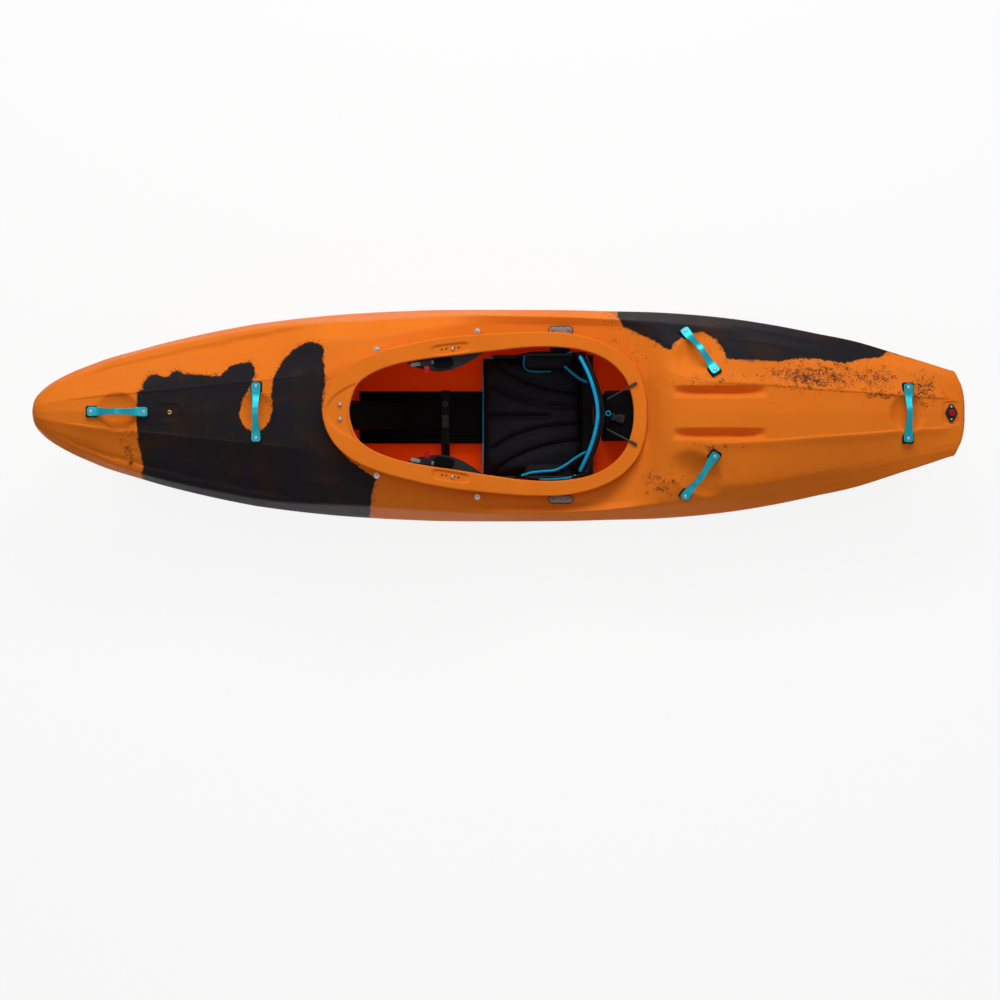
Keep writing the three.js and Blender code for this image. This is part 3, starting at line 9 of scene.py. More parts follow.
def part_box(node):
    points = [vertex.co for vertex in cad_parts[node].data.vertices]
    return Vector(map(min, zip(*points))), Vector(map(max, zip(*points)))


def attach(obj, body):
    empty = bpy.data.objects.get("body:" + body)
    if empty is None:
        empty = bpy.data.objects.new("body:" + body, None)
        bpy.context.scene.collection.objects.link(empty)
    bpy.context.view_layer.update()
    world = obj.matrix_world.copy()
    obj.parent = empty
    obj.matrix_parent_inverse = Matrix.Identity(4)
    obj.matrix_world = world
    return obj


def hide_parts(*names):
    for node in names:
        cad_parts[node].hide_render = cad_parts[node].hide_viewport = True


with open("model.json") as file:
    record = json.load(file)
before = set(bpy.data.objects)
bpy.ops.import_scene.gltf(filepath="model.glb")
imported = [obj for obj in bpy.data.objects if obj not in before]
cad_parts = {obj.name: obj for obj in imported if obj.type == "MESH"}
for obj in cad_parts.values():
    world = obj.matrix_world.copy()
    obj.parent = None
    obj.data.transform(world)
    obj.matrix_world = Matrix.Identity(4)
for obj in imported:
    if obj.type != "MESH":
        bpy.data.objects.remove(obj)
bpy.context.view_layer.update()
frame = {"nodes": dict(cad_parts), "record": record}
scene = bpy.context.scene

# Camera straight above the cockpit, a little to the port side, and a plain white studio.
# A large soft box stands to starboard, one hangs overhead and a weak one fills in from port.
camera_data = bpy.data.cameras.new("camera")
camera_data.sensor_width = 36
camera_data.lens = 63.68
camera_data.clip_end = 60
camera = bpy.data.objects.new("camera", camera_data)
camera.location = (-0.0066, -0.255, 5.5)
scene.collection.objects.link(camera)
scene.camera = camera


def soft_box(name, location, target, size, power):
    data = bpy.data.lights.new(name, "AREA")
    data.shape = "RECTANGLE"
    data.size, data.size_y = size
    data.energy = power
    lamp = bpy.data.objects.new(name, data)
    lamp.location = location
    aim = Vector(target) - Vector(location)
    lamp.rotation_euler = aim.to_track_quat("-Z", "Y").to_euler()
    scene.collection.objects.link(lamp)


soft_box("key", (0.1, 3.1, 2.9), (0, 0, 0.2), (4.4, 1.7), 132)
soft_box("overhead", (-0.3, 0.6, 4.6), (0, 0, 0.2), (3.8, 1.5), 18)
soft_box("fill", (0.4, -3.4, 1.7), (0, 0, 0.2), (4.2, 1.2), 6)


def new_material(name):
    material = bpy.data.materials.new(name)
    material.use_nodes = True
    nodes = material.node_tree.nodes
    nodes.clear()
    return material, nodes


def link_value(node, socket, value):
    """Sets a socket to a number or colour, or joins it to another node's output."""
    if isinstance(value, bpy.types.NodeSocket):
        node.id_data.links.new(value, node.inputs[socket])
    elif value is not None:
        node.inputs[socket].default_value = value


def math_node(nodes, operation, a, b=None, c=None):
    node = nodes.new("ShaderNodeMath")
    node.operation = operation
    for i, value in enumerate((a, b, c)):
        link_value(node, i, value)
    return node.outputs[0]


def plain_node(nodes, kind, **sockets):
    """A node of a kind with its sockets set by name."""
    node = nodes.new("ShaderNode" + kind)
    for name, value in sockets.items():
        link_value(node, name.replace("_", " "), value)
    return node


def seen_as_white(nodes):
    """1 for rays from the camera and through or off smooth surfaces, 0 for those that light."""
    path = nodes.new("ShaderNodeLightPath").outputs
    smooth_rays = math_node(nodes, "MAXIMUM", path["Is Glossy Ray"], path["Is Transmission Ray"])
    return math_node(nodes, "MAXIMUM", path["Is Camera Ray"], smooth_rays)


def mixed_surface(nodes, amount, first, second, output):
    mix = nodes.new("ShaderNodeMixShader")
    for i, value in enumerate((amount, first.outputs[0], second.outputs[0])):
        link_value(mix, i, value)
    plain_node(nodes, output, Surface=mix.outputs[0])


WHITE = (1, 1, 1, 1)
world = bpy.data.worlds.new("studio")
world.use_nodes = True
scene.world = world
sky = world.node_tree.nodes
sky.clear()
ambient = plain_node(sky, "Background", Color=WHITE, Strength=0.27)
backdrop = plain_node(sky, "Background", Color=WHITE, Strength=1)
mixed_surface(sky, seen_as_white(sky), ambient, backdrop, "OutputWorld")

bpy.ops.mesh.primitive_plane_add(size=40, location=(0, 0, 0))
floor = bpy.context.active_object
floor.name = "floor"
floor_material, nodes = new_material("studio_floor")
FLOOR_WHITENESS = 0.88  # the share of plain white that the camera sees, the rest takes shadow
paper = plain_node(nodes, "BsdfDiffuse", Color=(0.86, 0.86, 0.86, 1))
glow = plain_node(nodes, "Emission", Strength=1)
share = math_node(nodes, "MULTIPLY", seen_as_white(nodes), FLOOR_WHITENESS)
mixed_surface(nodes, share, paper, glow, "OutputMaterial")
floor.data.materials.append(floor_material)
scene.view_settings.view_transform = "Standard"

# Hull: one rotationally moulded polyethylene shell, 6 mm thick, open at the cockpit.
# Its lines are the boat's own: keel, chines, seam, shoulders and deck, each a list of shares.
MM = 0.001
HULL_LENGTH, HALF_BEAM, BOAT_HEIGHT, WALL = 2720, 321, 415, 6
keel_line = [
    (0, 0.915), (0.0016, 0.885), (0.006, 0.835), (0.0166, 0.765), (0.038, 0.645), (0.06, 0.545),
    (0.081, 0.46), (0.103, 0.387), (0.124, 0.32), (0.146, 0.262), (0.189, 0.174), (0.232, 0.113),
    (0.275, 0.07), (0.339, 0.033), (0.395, 0.012), (0.45, 0), (0.62, 0), (0.66, 0.018),
    (0.7, 0.055), (0.74, 0.102), (0.78, 0.157), (0.82, 0.224), (0.86, 0.302), (0.9, 0.39),
    (0.941, 0.489), (0.985, 0.602), (1, 0.642),
]
seam_breadth = [
    (0, 0), (0.0016, 0.137), (0.0037, 0.18), (0.008, 0.232), (0.0144, 0.288), (0.0342, 0.4),
    (0.0524, 0.472), (0.0737, 0.545), (0.1, 0.615), (0.13, 0.688), (0.165, 0.757), (0.2, 0.815),
    (0.243, 0.873), (0.287, 0.92), (0.331, 0.955), (0.39, 0.984), (0.44, 0.998), (0.5, 1),
    (0.56, 0.998), (0.62, 0.986), (0.664, 0.977), (0.708, 0.952), (0.752, 0.91), (0.795, 0.85),
    (0.838, 0.773), (0.881, 0.682), (0.922, 0.574), (0.964, 0.455), (1, 0.345),
]
seam_height = [
    (0, 0.915), (0.0274, 0.805), (0.0596, 0.695), (0.0829, 0.643), (0.107, 0.595), (0.155, 0.53),
    (0.203, 0.482), (0.251, 0.443), (0.3, 0.422), (0.38, 0.398), (0.46, 0.376), (0.53, 0.371),
    (0.6, 0.378), (0.663, 0.388), (0.732, 0.424), (0.8, 0.477), (0.855, 0.537), (0.91, 0.602),
    (0.965, 0.675), (1, 0.716),
]
deck_line = [
    (0, 0.915), (0.0016, 0.944), (0.006, 0.976), (0.0123, 0.988), (0.0166, 0.99), (0.038, 0.975),
    (0.06, 0.956), (0.103, 0.923), (0.146, 0.892), (0.21, 0.886), (0.313, 0.888), (0.35, 0.868),
    (0.384, 0.82), (0.434, 0.708), (0.483, 0.585), (0.508, 0.542), (0.532, 0.513), (0.568, 0.497),
    (0.6, 0.508), (0.63, 0.552), (0.6505, 0.592), (0.6576, 0.607), (0.6635, 0.65), (0.673, 0.717),
    (0.687, 0.775), (0.705, 0.806), (0.725, 0.812), (0.77, 0.805), (0.81, 0.798), (0.86, 0.788),
    (0.9, 0.775), (0.985, 0.762), (1, 0.757),
]
# Edges along the hull: (share of the length, share of the seam's breadth, share of the way up).
edge_line = [
    (0, 0.55, 0.12), (0.1, 0.56, 0.1), (0.2, 0.69, 0.07), (0.35, 0.77, 0.03), (0.45, 0.79, 0),
    (0.62, 0.8, 0), (0.8, 0.8, 0.04), (1, 0.85, 0.08),
]
chine_line = [
    (0, 0.88, 0.52), (0.1, 0.9, 0.6), (0.2, 0.93, 0.69), (0.28, 0.945, 0.65), (0.4, 0.95, 0.57),
    (0.53, 0.945, 0.53), (0.7, 0.945, 0.5), (1, 0.95, 0.5),
]
shoulder_line = [
    (0, 0.8, 0.5), (0.044, 0.8, 0.5), (0.09, 0.88, 0.55), (0.13, 0.897, 0.53), (0.2, 0.897, 0.45),
    (0.25, 0.905, 0.46), (0.31, 0.885, 0.62), (0.35, 0.875, 0.69), (0.434, 0.9, 0.78),
    (0.483, 0.915, 1.04), (0.54, 0.915, 1.2), (0.58, 0.91, 1.25), (0.615, 0.9, 1.2),
    (0.635, 0.885, 1.12), (0.66, 0.865, 0.95), (0.69, 0.85, 0.6), (0.73, 0.85, 0.54),
    (0.773, 0.848, 0.51), (0.862, 0.8, 0.435), (0.94, 0.76, 0.43), (1, 0.83, 0.5),
]
hollow_line = [
    (0, 0.54, 0.76), (0.044, 0.54, 0.77), (0.13, 0.6, 0.735), (0.2, 0.6, 0.69), (0.25, 0.6, 0.7),
    (0.31, 0.7, 0.86), (0.35, 0.7, 0.9), (0.434, 0.8, 0.93), (0.483, 0.835, 1), (0.54, 0.835, 1.02),
    (0.6, 0.83, 1.02), (0.635, 0.82, 1), (0.66, 0.74, 0.95), (0.69, 0.62, 0.84), (0.73, 0.7, 0.77),
    (0.773, 0.74, 0.75), (0.862, 0.69, 0.6), (0.94, 0.67, 0.54), (1, 0.65, 0.75),
]
panel_line = [
    (0, 0.28, 0.96), (0.044, 0.285, 0.96), (0.13, 0.29, 0.965), (0.2, 0.315, 0.97),
    (0.31, 0.375, 0.985), (0.36, 0.5, 0.99), (0.45, 0.55, 1), (0.62, 0.55, 1), (0.66, 0.4, 0.995),
    (0.7, 0.3, 0.985), (0.773, 0.3, 0.975), (0.862, 0.285, 0.97), (0.94, 0.285, 0.95),
    (1, 0.34, 0.95),
]
# How far panel, hollow, shoulder, seam, chine and bottom edge are rounded, as shares.
corner_rounds = (0.12, 0.12, 0.1, 0.1, 0.2, 0.32)
# Points from one edge to the next, from the deck's middle down to the keel.
girth_points = (23, 17, 11, 9, 6, 5, 5)


def along(table, share, column=1):
    """A smooth value along the boat that never overshoots its table."""
    rows = np.array(table, dtype=float)
    at, value = np.sqrt(rows[:, 0]), rows[:, column]
    slope = np.diff(value) / np.diff(at)
    tangent = np.concatenate([slope[:1], np.zeros(len(slope) - 1), slope[-1:]])
    same = slope[:-1] * slope[1:] > 0
    both = slope[:-1][same] * slope[1:][same]
    tangent[1:-1][same] = 2 * both / (slope[:-1] + slope[1:])[same]
    where = np.sqrt(np.clip(share, 0, 1))
    i = np.clip(np.searchsorted(at, where, side="left") - 1, 0, len(at) - 2)
    span = at[i + 1] - at[i]
    s = (where - at[i]) / span
    return (
        value[i] * (1 + 2 * s) * (1 - s) ** 2
        + tangent[i] * span * s * (1 - s) ** 2
        + value[i + 1] * s * s * (3 - 2 * s)
        - tangent[i + 1] * span * s * s * (1 - s)
    )


def smooth(value):
    s = np.clip(value, 0, 1)
    return s * s * (3 - 2 * s)


def between(x, start, rise, end, fall):
    """1 between start and end and 0 beyond them: it rises over rise and falls over fall."""
    return smooth((x - start) / rise) * smooth((end - x) / fall)


def share_of(x):
    """How far along the hull x is, from 0 at the bow to 1 at the stern."""
    return (x + HULL_LENGTH / 2) / HULL_LENGTH


def seam_at(share):
    """The seam's breadth from the middle and its height."""
    return HALF_BEAM * along(seam_breadth, share), BOAT_HEIGHT * along(seam_height, share)


def section_corners(x):
    """The eight corners of the half sections at x: an array of stations by corners by (y, z)."""
    share = share_of(x)
    breadth, seam = seam_at(share)
    keel = BOAT_HEIGHT * along(keel_line, share)
    deck = BOAT_HEIGHT * along(deck_line, share)
    corners = [(0 * breadth, deck)]
    for table in (panel_line, hollow_line, shoulder_line):
        up = seam + (deck - seam) * along(table, share, 2)
        corners.append((breadth * along(table, share, 1), up))
    corners.append((breadth, seam))
    for table in (chine_line, edge_line):
        up = keel + (seam - keel) * along(table, share, 2)
        corners.append((breadth * along(table, share, 1), up))
    corners.append((0 * breadth, keel))
    return np.array(corners).transpose(2, 0, 1)


def section_at(corners, s):
    """Points of the sections at s, which counts corners from the deck's middle down."""
    s = np.clip(s, 0, 6.9999)
    i = s.astype(int)
    rows = np.arange(len(corners))[:, None]
    low, high = corners[rows, i], corners[rows, i + 1]
    points = low + (high - low) * (s - i)[..., None]
    for corner, amount in enumerate(corner_rounds, start=1):
        t = (s - corner + amount) / (2 * amount)
        near = (t > 0) & (t < 1)
        a, b, c = corners[:, corner - 1], corners[:, corner], corners[:, corner + 1]
        start, end = b + (a - b) * amount, b + (c - b) * amount
        w = t[..., None]
        bend = (start[:, None] * (1 - w) ** 2 + 2 * b[:, None] * w * (1 - w) + end[:, None] * w**2)
        points = np.where(near[..., None], bend, points)
    return points


# The cockpit rim's plan lines: (share of its length, share of its half width).
RIM_FRONT, RIM_LENGTH, RIM_HALF_WIDTH = -518, 947, 243
RIM_OVERHANG, RIM_RISER = 15, 7
rim_outer_line = [
    (0, 0), (0.011, 0.206), (0.04, 0.4), (0.093, 0.576), (0.171, 0.712), (0.275, 0.823),
    (0.379, 0.905), (0.506, 0.963), (0.642, 1), (0.758, 0.984), (0.853, 0.889), (0.922, 0.741),
    (0.971, 0.527), (0.995, 0.255), (1, 0),
]
rim_inner_line = [
    (0.082, 0), (0.09, 0.173), (0.109, 0.33), (0.151, 0.453), (0.22, 0.56), (0.309, 0.634),
    (0.404, 0.687), (0.515, 0.753), (0.637, 0.811), (0.742, 0.807), (0.824, 0.745),
    (0.885, 0.626), (0.929, 0.444), (0.952, 0.214), (0.958, 0),
]
rim_top_line = [
    (0, 1), (0.05, 0.996), (0.147, 0.969), (0.215, 0.94), (0.3, 0.896), (0.357, 0.86),
    (0.43, 0.798), (0.498, 0.732), (0.569, 0.676), (0.64, 0.644), (0.743, 0.629), (0.853, 0.629),
    (0.92, 0.634), (1, 0.639),
]
RIM_STATIONS = 480


def closed_curve(points, count):
    """Points spread by length round a closed centripetal curve through the given ones."""
    points = np.array(points, dtype=float)
    ring = []
    n = len(points)
    for i in range(n):
        p = [points[(i + k - 1) % n] for k in range(4)]
        knots = [0.0]
        for k in range(3):
            knots.append(knots[-1] + max(np.linalg.norm(p[k + 1] - p[k]), 1e-9) ** 0.5)
        for t in np.linspace(knots[1], knots[2], 24, endpoint=False):
            a = [
                p[k] * (knots[k + 1] - t) / (knots[k + 1] - knots[k])
                + p[k + 1] * (t - knots[k]) / (knots[k + 1] - knots[k])
                for k in range(3)
            ]
            b = [
                a[k] * (knots[k + 2] - t) / (knots[k + 2] - knots[k])
                + a[k + 1] * (t - knots[k]) / (knots[k + 2] - knots[k])
                for k in range(2)
            ]
            ring.append(b[0] * (knots[2] - t) / (knots[2] - knots[1])
                        + b[1] * (t - knots[1]) / (knots[2] - knots[1]))
    ring = np.array(ring + ring[:1])
    gone = np.concatenate([[0], np.cumsum(np.linalg.norm(np.diff(ring, axis=0), axis=1))])
    where = np.linspace(0, gone[-1], count, endpoint=False)
    return np.stack([np.interp(where, gone, ring[:, k]) for k in range(ring.shape[1])], axis=1)


def rim_curve(line):
    right = [(RIM_FRONT + RIM_LENGTH * u, RIM_HALF_WIDTH * v) for u, v in line]
    return closed_curve(right + [(x, -y) for x, y in right[-2:0:-1]], RIM_STATIONS)


rim_outer, rim_inner = rim_curve(rim_outer_line), rim_curve(rim_inner_line)
rim_across = rim_inner - rim_outer
rim_width = np.linalg.norm(rim_across, axis=1)
rim_across = rim_across / rim_width[:, None]


def rim_top(x):
    return BOAT_HEIGHT * along(rim_top_line, (x - RIM_FRONT) / RIM_LENGTH)


# The shell is cut along the middle of the riser, on the starboard half from front to back.
cut_line = (rim_outer + rim_across * (RIM_OVERHANG + RIM_RISER / 2))[: RIM_STATIONS // 2 + 1]
cut_line[0, 1] = cut_line[-1, 1] = 0
CUT_FRONT, CUT_BACK = cut_line[0, 0], cut_line[-1, 0]


def cut_breadth(x):
    return np.interp(x, cut_line[:, 0], cut_line[:, 1], left=0, right=0)


# Where things sit on the boat's middle line and beside it.
CAMERA_X, DRAIN_X = -966, 1316
HANDLE_BOW_X, HANDLE_FOREDECK_X, HANDLE_STERN_X = -1112, -714, 1190
FLUTE_X, FLUTE_Y, FLUTE_LONG, FLUTE_WIDE, FLUTE_DEEP = 636, 62, 137, 17, 26
# Dishes under the handles and flutes behind the cockpit: x, y, long, wide, depth, turn.
dishes = [
    (HANDLE_BOW_X, 0, 60, 60, 20, 0), (HANDLE_FOREDECK_X, 0, 57, 57, 20, 0),
    (HANDLE_STERN_X, 0, 55, 55, 20, 0),
    (575, -178, 84, 56, 26, -0.61), (575, 178, 84, 56, 26, 0.61),
    (FLUTE_X, -FLUTE_Y, 139, 17, 21, 0), (FLUTE_X, FLUTE_Y, 139, 17, 21, 0),
]
DIP = 0.8  # a dish is part of a ball: its rim lies this share of the radius above the middle


def dish_depth(x, y, soft, grow=0, deeper=0):
    """How far the deck sinks at plan points, with the dishes' edges rounded over soft."""
    total = np.zeros(np.broadcast(x, y).shape)
    for cx, cy, long, wide, depth, turn in dishes:
        dx, dy = x - cx, y - cy
        u = (dx * math.cos(turn) + dy * math.sin(turn)) / (long + grow)
        v = (dy * math.cos(turn) - dx * math.sin(turn)) / (wide + grow)
        rho = np.minimum(np.hypot(u, v), 3)
        full = depth + deeper
        inner = full * (np.sqrt(np.maximum(1 - (1 - DIP**2) * rho**2, 0)) - DIP) / (1 - DIP)
        slope = full * (1 - DIP**2) / DIP / (1 - DIP)
        fall = np.where(rho < 1, inner, slope * (1 - rho))
        sink = (fall + np.sqrt(fall**2 + soft**2)) / 2
        total = np.maximum(total, np.where(rho < 1.6, sink - soft * 0.06, 0))
    return np.maximum(total, 0)


def squircle(x, y, cx, cy, long, wide, edge, turn=0.0, power=6):
    """1 inside a round-cornered rectangle of half sizes long and wide, 0 outside it."""
    dx, dy = x - cx, y - cy
    u = np.abs(dx * math.cos(turn) + dy * math.sin(turn)) / long
    v = np.abs(dy * math.cos(turn) - dx * math.sin(turn)) / wide
    reach = (u**power + v**power) ** (1 / power)
    return smooth((1 + edge / wide / 2 - reach) / (edge / wide))


CREASE_FORE, CREASE_AFT, GABLE, GABLE_HALF_WIDTH = 2.6, 3.4, 1.7, 44
CREASE_OUTWARDS, CREASE_INWARDS = 15, 6
FORE_SPAN, AFT_SPAN = (-1290, 90, -560, 120), (560, 90, 1322, 30)


def panel_ridges(x, y):
    """Raised creases along both edges of the deck's middle panel, fore and aft of the cockpit."""
    share = share_of(x)
    off = np.abs(y) - seam_at(share)[0] * along(panel_line, share)
    outside = np.exp(-((off / CREASE_OUTWARDS) ** 2))
    raised = np.where(off > 0, outside, smooth(1 + off / CREASE_INWARDS))
    fore, aft = between(x, *FORE_SPAN), between(x, *AFT_SPAN)
    gable = np.maximum(1 - np.abs(y) / GABLE_HALF_WIDTH, 0)
    gable = gable * (1 - squircle(x, y, CAMERA_X, 0, 34, 26, 4))
    return raised * (CREASE_FORE * fore + CREASE_AFT * aft) + GABLE * gable * fore


# Side hollows: x, where their sharp upper edge runs, how wide they are and how deep.
side_hollows = np.array([
    (-1310, 60, 4, 0), (-1237, 104, 8, 2.2), (-1152, 136, 9, 3.6), (-1060, 160, 12, 4),
    (-883, 200, 17, 4.6), (-757, 225, 30, 6.5), (-661, 244, 36, 6.5), (-598, 254, 28, 3.5),
    (-530, 266, 16, 0), (610, 280, 40, 0), (684, 270, 50, 5), (790, 250, 40, 6.5),
    (904, 228, 30, 5.5), (1060, 190, 17, 4), (1158, 165, 10, 3), (1260, 138, 8, 0),
])
HOLLOW_STRENGTH = 1.5


def side_dent(x, y, spread=0):
    """The hollow in each side: a crease on its outer edge that runs out gently inwards."""
    edge, wide, deep = (np.interp(x, side_hollows[:, 0], side_hollows[:, k]) for k in (1, 2, 3))
    inwards = edge - np.abs(y) + spread
    fade = np.exp(-((np.maximum(inwards, 0) / (wide + 2 * spread)) ** 2))
    return HOLLOW_STRENGTH * deep * smooth((inwards + 3) / 6) * fade


# Pockets and, with a depth below 0, bosses: x, y, half length, half width, edge, depth, power.
deck_pockets = [
    (CAMERA_X, 0, 31, 22, 4, 3.5, 6), (DRAIN_X, 0, 24, 30, 5, 3, 6),
    (HANDLE_BOW_X - 75, 0, 14, 17, 9, -1.6, 6), (HANDLE_BOW_X + 75, 0, 14, 17, 9, -1.6, 6),
]
for side in (-1, 1):
    deck_pockets += [(x, side * y, 11, 11, 9, -2.3, 2) for x, y in ((-366, 184), (-74, 246))]
    for x in (HANDLE_FOREDECK_X, HANDLE_STERN_X):
        deck_pockets.append((x, side * 74, 17, 14, 9, -1.6, 6))


def deck_relief(x, y):
    """How far the deck sinks at its pockets and side hollows, less its creases and bosses."""
    sink = side_dent(x, y) - panel_ridges(x, y)
    for cx, cy, long, wide, edge, depth, power in deck_pockets:
        sink = sink + depth * squircle(x, y, cx, cy, long, wide, edge, power=power)
    return sink


BOW_TIP, STERN_FROM, STATION_COUNT = -1359.9, 1345, 500
# Where the hull needs more stations: x, reach, how many more.
busy_places = [
    (-1352, 14, 7), (HANDLE_BOW_X, 66, 0.9), (CAMERA_X, 34, 0.8), (HANDLE_FOREDECK_X, 62, 0.9),
    (CUT_FRONT, 26, 1.8), (CUT_BACK, 26, 2.2), (450, 60, 0.6), (590, 120, 0.7),
    (HANDLE_STERN_X, 60, 0.9), (1318, 34, 1.2),
]


def spread_stations():
    """Stations along the hull, closest at the ends, at the dishes and at the cockpit's tips."""
    x = np.linspace(BOW_TIP, STERN_FROM, 6000)
    weight = np.ones_like(x)
    for centre, reach, more in busy_places:
        weight += more * smooth(1.5 - np.abs(x - centre) / reach)
    gone = np.concatenate([[0], np.cumsum((weight[1:] + weight[:-1]) / 2 * np.diff(x))])
    found = np.interp(np.linspace(0, gone[-1], STATION_COUNT), gone, x)
    front = int(np.argmin(np.abs(found - CUT_FRONT)))
    back = int(np.argmin(np.abs(found - CUT_BACK)))
    found[front], found[back] = CUT_FRONT, CUT_BACK
    return found, front, back


stations, cut_from, cut_to = spread_stations()


RISER_SHARE = 3.2  # the cockpit's opening squeezes the points between its edge and this corner


def girth(corners, x, counts):
    """Section parameters of each station's points; in the cockpit they start at the riser."""
    fine = np.linspace(0, 2, 1001)
    at_crease = 2.4 * np.exp(-(((fine - 1) / 0.08) ** 2))
    at_flute = 2.2 * np.exp(-(((fine - 0.68) / 0.2) ** 2))
    weight = 1 + at_crease + at_flute
    gone = np.concatenate([[0], np.cumsum(weight[1:] + weight[:-1])])
    upper = np.interp(np.linspace(0, gone[-1], counts[0] + counts[1], endpoint=False), gone, fine)
    lower = [np.linspace(i, i + 1, counts[i], endpoint=False) for i in range(2, 7)]
    base = np.concatenate([upper, *lower, [7]])
    s = np.repeat(base[None, :], len(x), axis=0)
    dense = np.linspace(0, RISER_SHARE, 400)
    rows = section_at(corners, np.repeat(dense[None, :], len(x), axis=0))[..., 0]
    cut = cut_breadth(x)
    for i in range(len(x)):
        if cut[i] > 0:
            start = np.interp(cut[i], rows[i], dense)
            squeezed = start + s[i] * (RISER_SHARE - start) / RISER_SHARE
            s[i] = np.where(s[i] < RISER_SHARE, squeezed, s[i])
    return s


TRANSOM_BOW, TRANSOM_FROM = 24, 0.86


def transom_curve(x, y, breadth):
    """The stern's sections bow out towards their middle."""
    bow = TRANSOM_BOW * smooth((share_of(x) - TRANSOM_FROM) / (1 - TRANSOM_FROM))
    return bow * (y / breadth) ** 2


def skin(x, counts, inset, relief):
    """Points of one skin: stations by ring points, starboard first, in millimetres."""
    corners = section_corners(x)
    s = girth(corners, x, counts)
    half = section_at(corners, s)
    breadth = half[..., 0].max(axis=1, keepdims=True)
    if inset:
        step = np.gradient(half, axis=1)
        long = np.maximum(np.linalg.norm(step, axis=2, keepdims=True), 1e-6)
        normal = np.stack([step[..., 1], -step[..., 0]], axis=2) / long
        normal[:, -1] = (0, 1)
        cut = cut_breadth(x)
        closed = cut <= 0
        normal[closed, 0] = (0, -1)
        half = half + normal * inset
        half[..., 0] = np.maximum(half[..., 0], 0)
        half[closed, 0, 0] = 0
        half[:, -1, 0] = 0
        half[~closed, 0, 0] = cut[~closed]
    y, z = half[..., 0], half[..., 1]
    xs = np.repeat(x[:, None], y.shape[1], axis=1)
    upper = smooth((3.4 - s) / 0.5)
    rings = []
    for side in (1, -1):
        drop = relief(xs, side * y) * upper
        rings.append(np.stack([xs - transom_curve(xs, y, breadth), side * y, z - drop], axis=2))
    starboard, port = rings
    return np.concatenate([starboard, port[:, -2::-1]], axis=1)


def flute_depth(x, y):
    """The two flutes behind the cockpit, sharp-edged and deeper than their dishes."""
    u, v = np.abs(x - FLUTE_X) / FLUTE_LONG, np.abs(np.abs(y) - FLUTE_Y) / FLUTE_WIDE
    return FLUTE_DEEP * np.clip(1 - u**5, 0, 1) * np.clip(1 - v**1.7, 0, 1)


def outer_relief(x, y):
    return np.maximum(dish_depth(x, y, 1.1), flute_depth(x, y)) + deck_relief(x, y)


UNDER_FLUTES_DEEP, DENT_SPREAD = 14, 32


def inner_relief(x, y):
    """The inner skin's own, broader reliefs, which keep it clear of the outer ones."""
    sink = dish_depth(x, y, 2.2, grow=26, deeper=9) + side_dent(x, y, DENT_SPREAD)
    return sink + UNDER_FLUTES_DEEP * squircle(x, np.abs(y), FLUTE_X, FLUTE_Y, 190, 50, 24)


outer_skin = skin(stations, girth_points, 0, outer_relief)
# Beside the cockpit's rear the deck rises without a crease, so its height is evened out there.
RISE_REACH, RISE_SPAN = 24, (385, 30, 535, 40)
plan_x, plan_y = outer_skin[..., 0], outer_skin[..., 1]
spread_weight = np.exp(-(((stations[:, None] - stations[None, :]) / RISE_REACH) ** 2) / 2)
spread_weight *= np.gradient(stations)[None, :]
spread_weight /= spread_weight.sum(axis=1, keepdims=True)
evened = spread_weight @ outer_skin[..., 2]
share = smooth((np.abs(plan_y) - 55) / 60) * between(plan_x, *RISE_SPAN)
outer_skin[..., 2] += (evened - outer_skin[..., 2]) * share
# The transom closes with a rounded edge and a slightly domed middle.
TRANSOM_FILLET, FILLET_RINGS = 13, 6
last = outer_skin[-1]
middle = np.array([last[:, 0].mean(), 0, (last[:, 2].max() + last[:, 2].min()) / 2])
transom_rings = []
for turn in np.linspace(0.16, 1, FILLET_RINGS) * math.pi / 2:
    pulled = last.copy()
    away = last - middle
    away[:, 0] = 0
    reach = np.maximum(np.linalg.norm(away, axis=1, keepdims=True), 1e-6)
    pulled -= away / reach * TRANSOM_FILLET * (1 - math.cos(turn))
    pulled[:, 0] += TRANSOM_FILLET * math.sin(turn)
    transom_rings.append(pulled)
flat_ring = transom_rings[-1]
for shrink in (0.75, 0.45, 0.15):
    ring = flat_ring.copy()
    ring[:, 1] *= shrink
    ring[:, 2] = middle[2] + (ring[:, 2] - middle[2]) * shrink
    stern = np.full(len(ring), HULL_LENGTH / 2)
    bowed = transom_curve(stern, np.abs(ring[:, 1]), np.abs(last[:, 1]).max())
    ring[:, 0] = flat_ring[:, 0].max() + 1.5 - bowed
    transom_rings.append(ring)
outer_skin = np.concatenate([outer_skin, np.array(transom_rings)], axis=0)

# The inner skin is coarser, but has every station of the cockpit, where both skins are joined.
INNER_FROM, INNER_TO, INNER_STEP = -1340, 1337, 9
inner_counts = (5, 5, 4, 3, 3, 3, 5)
keep = [
    i for i, x in enumerate(stations)
    if INNER_FROM < x < INNER_TO and (cut_from - 2 <= i <= cut_to + 2 or i % INNER_STEP == 4)
]
inner_skin = skin(stations[keep], inner_counts, WALL, inner_relief)


def grid_faces(rows, columns, first, flip):
    corners = [first + i * columns + j for i in range(rows - 1) for j in range(columns - 1)]
    quads = [(a, a + 1, a + 1 + columns, a + columns) for a in corners]
    return [quad[::-1] for quad in quads] if flip else quads


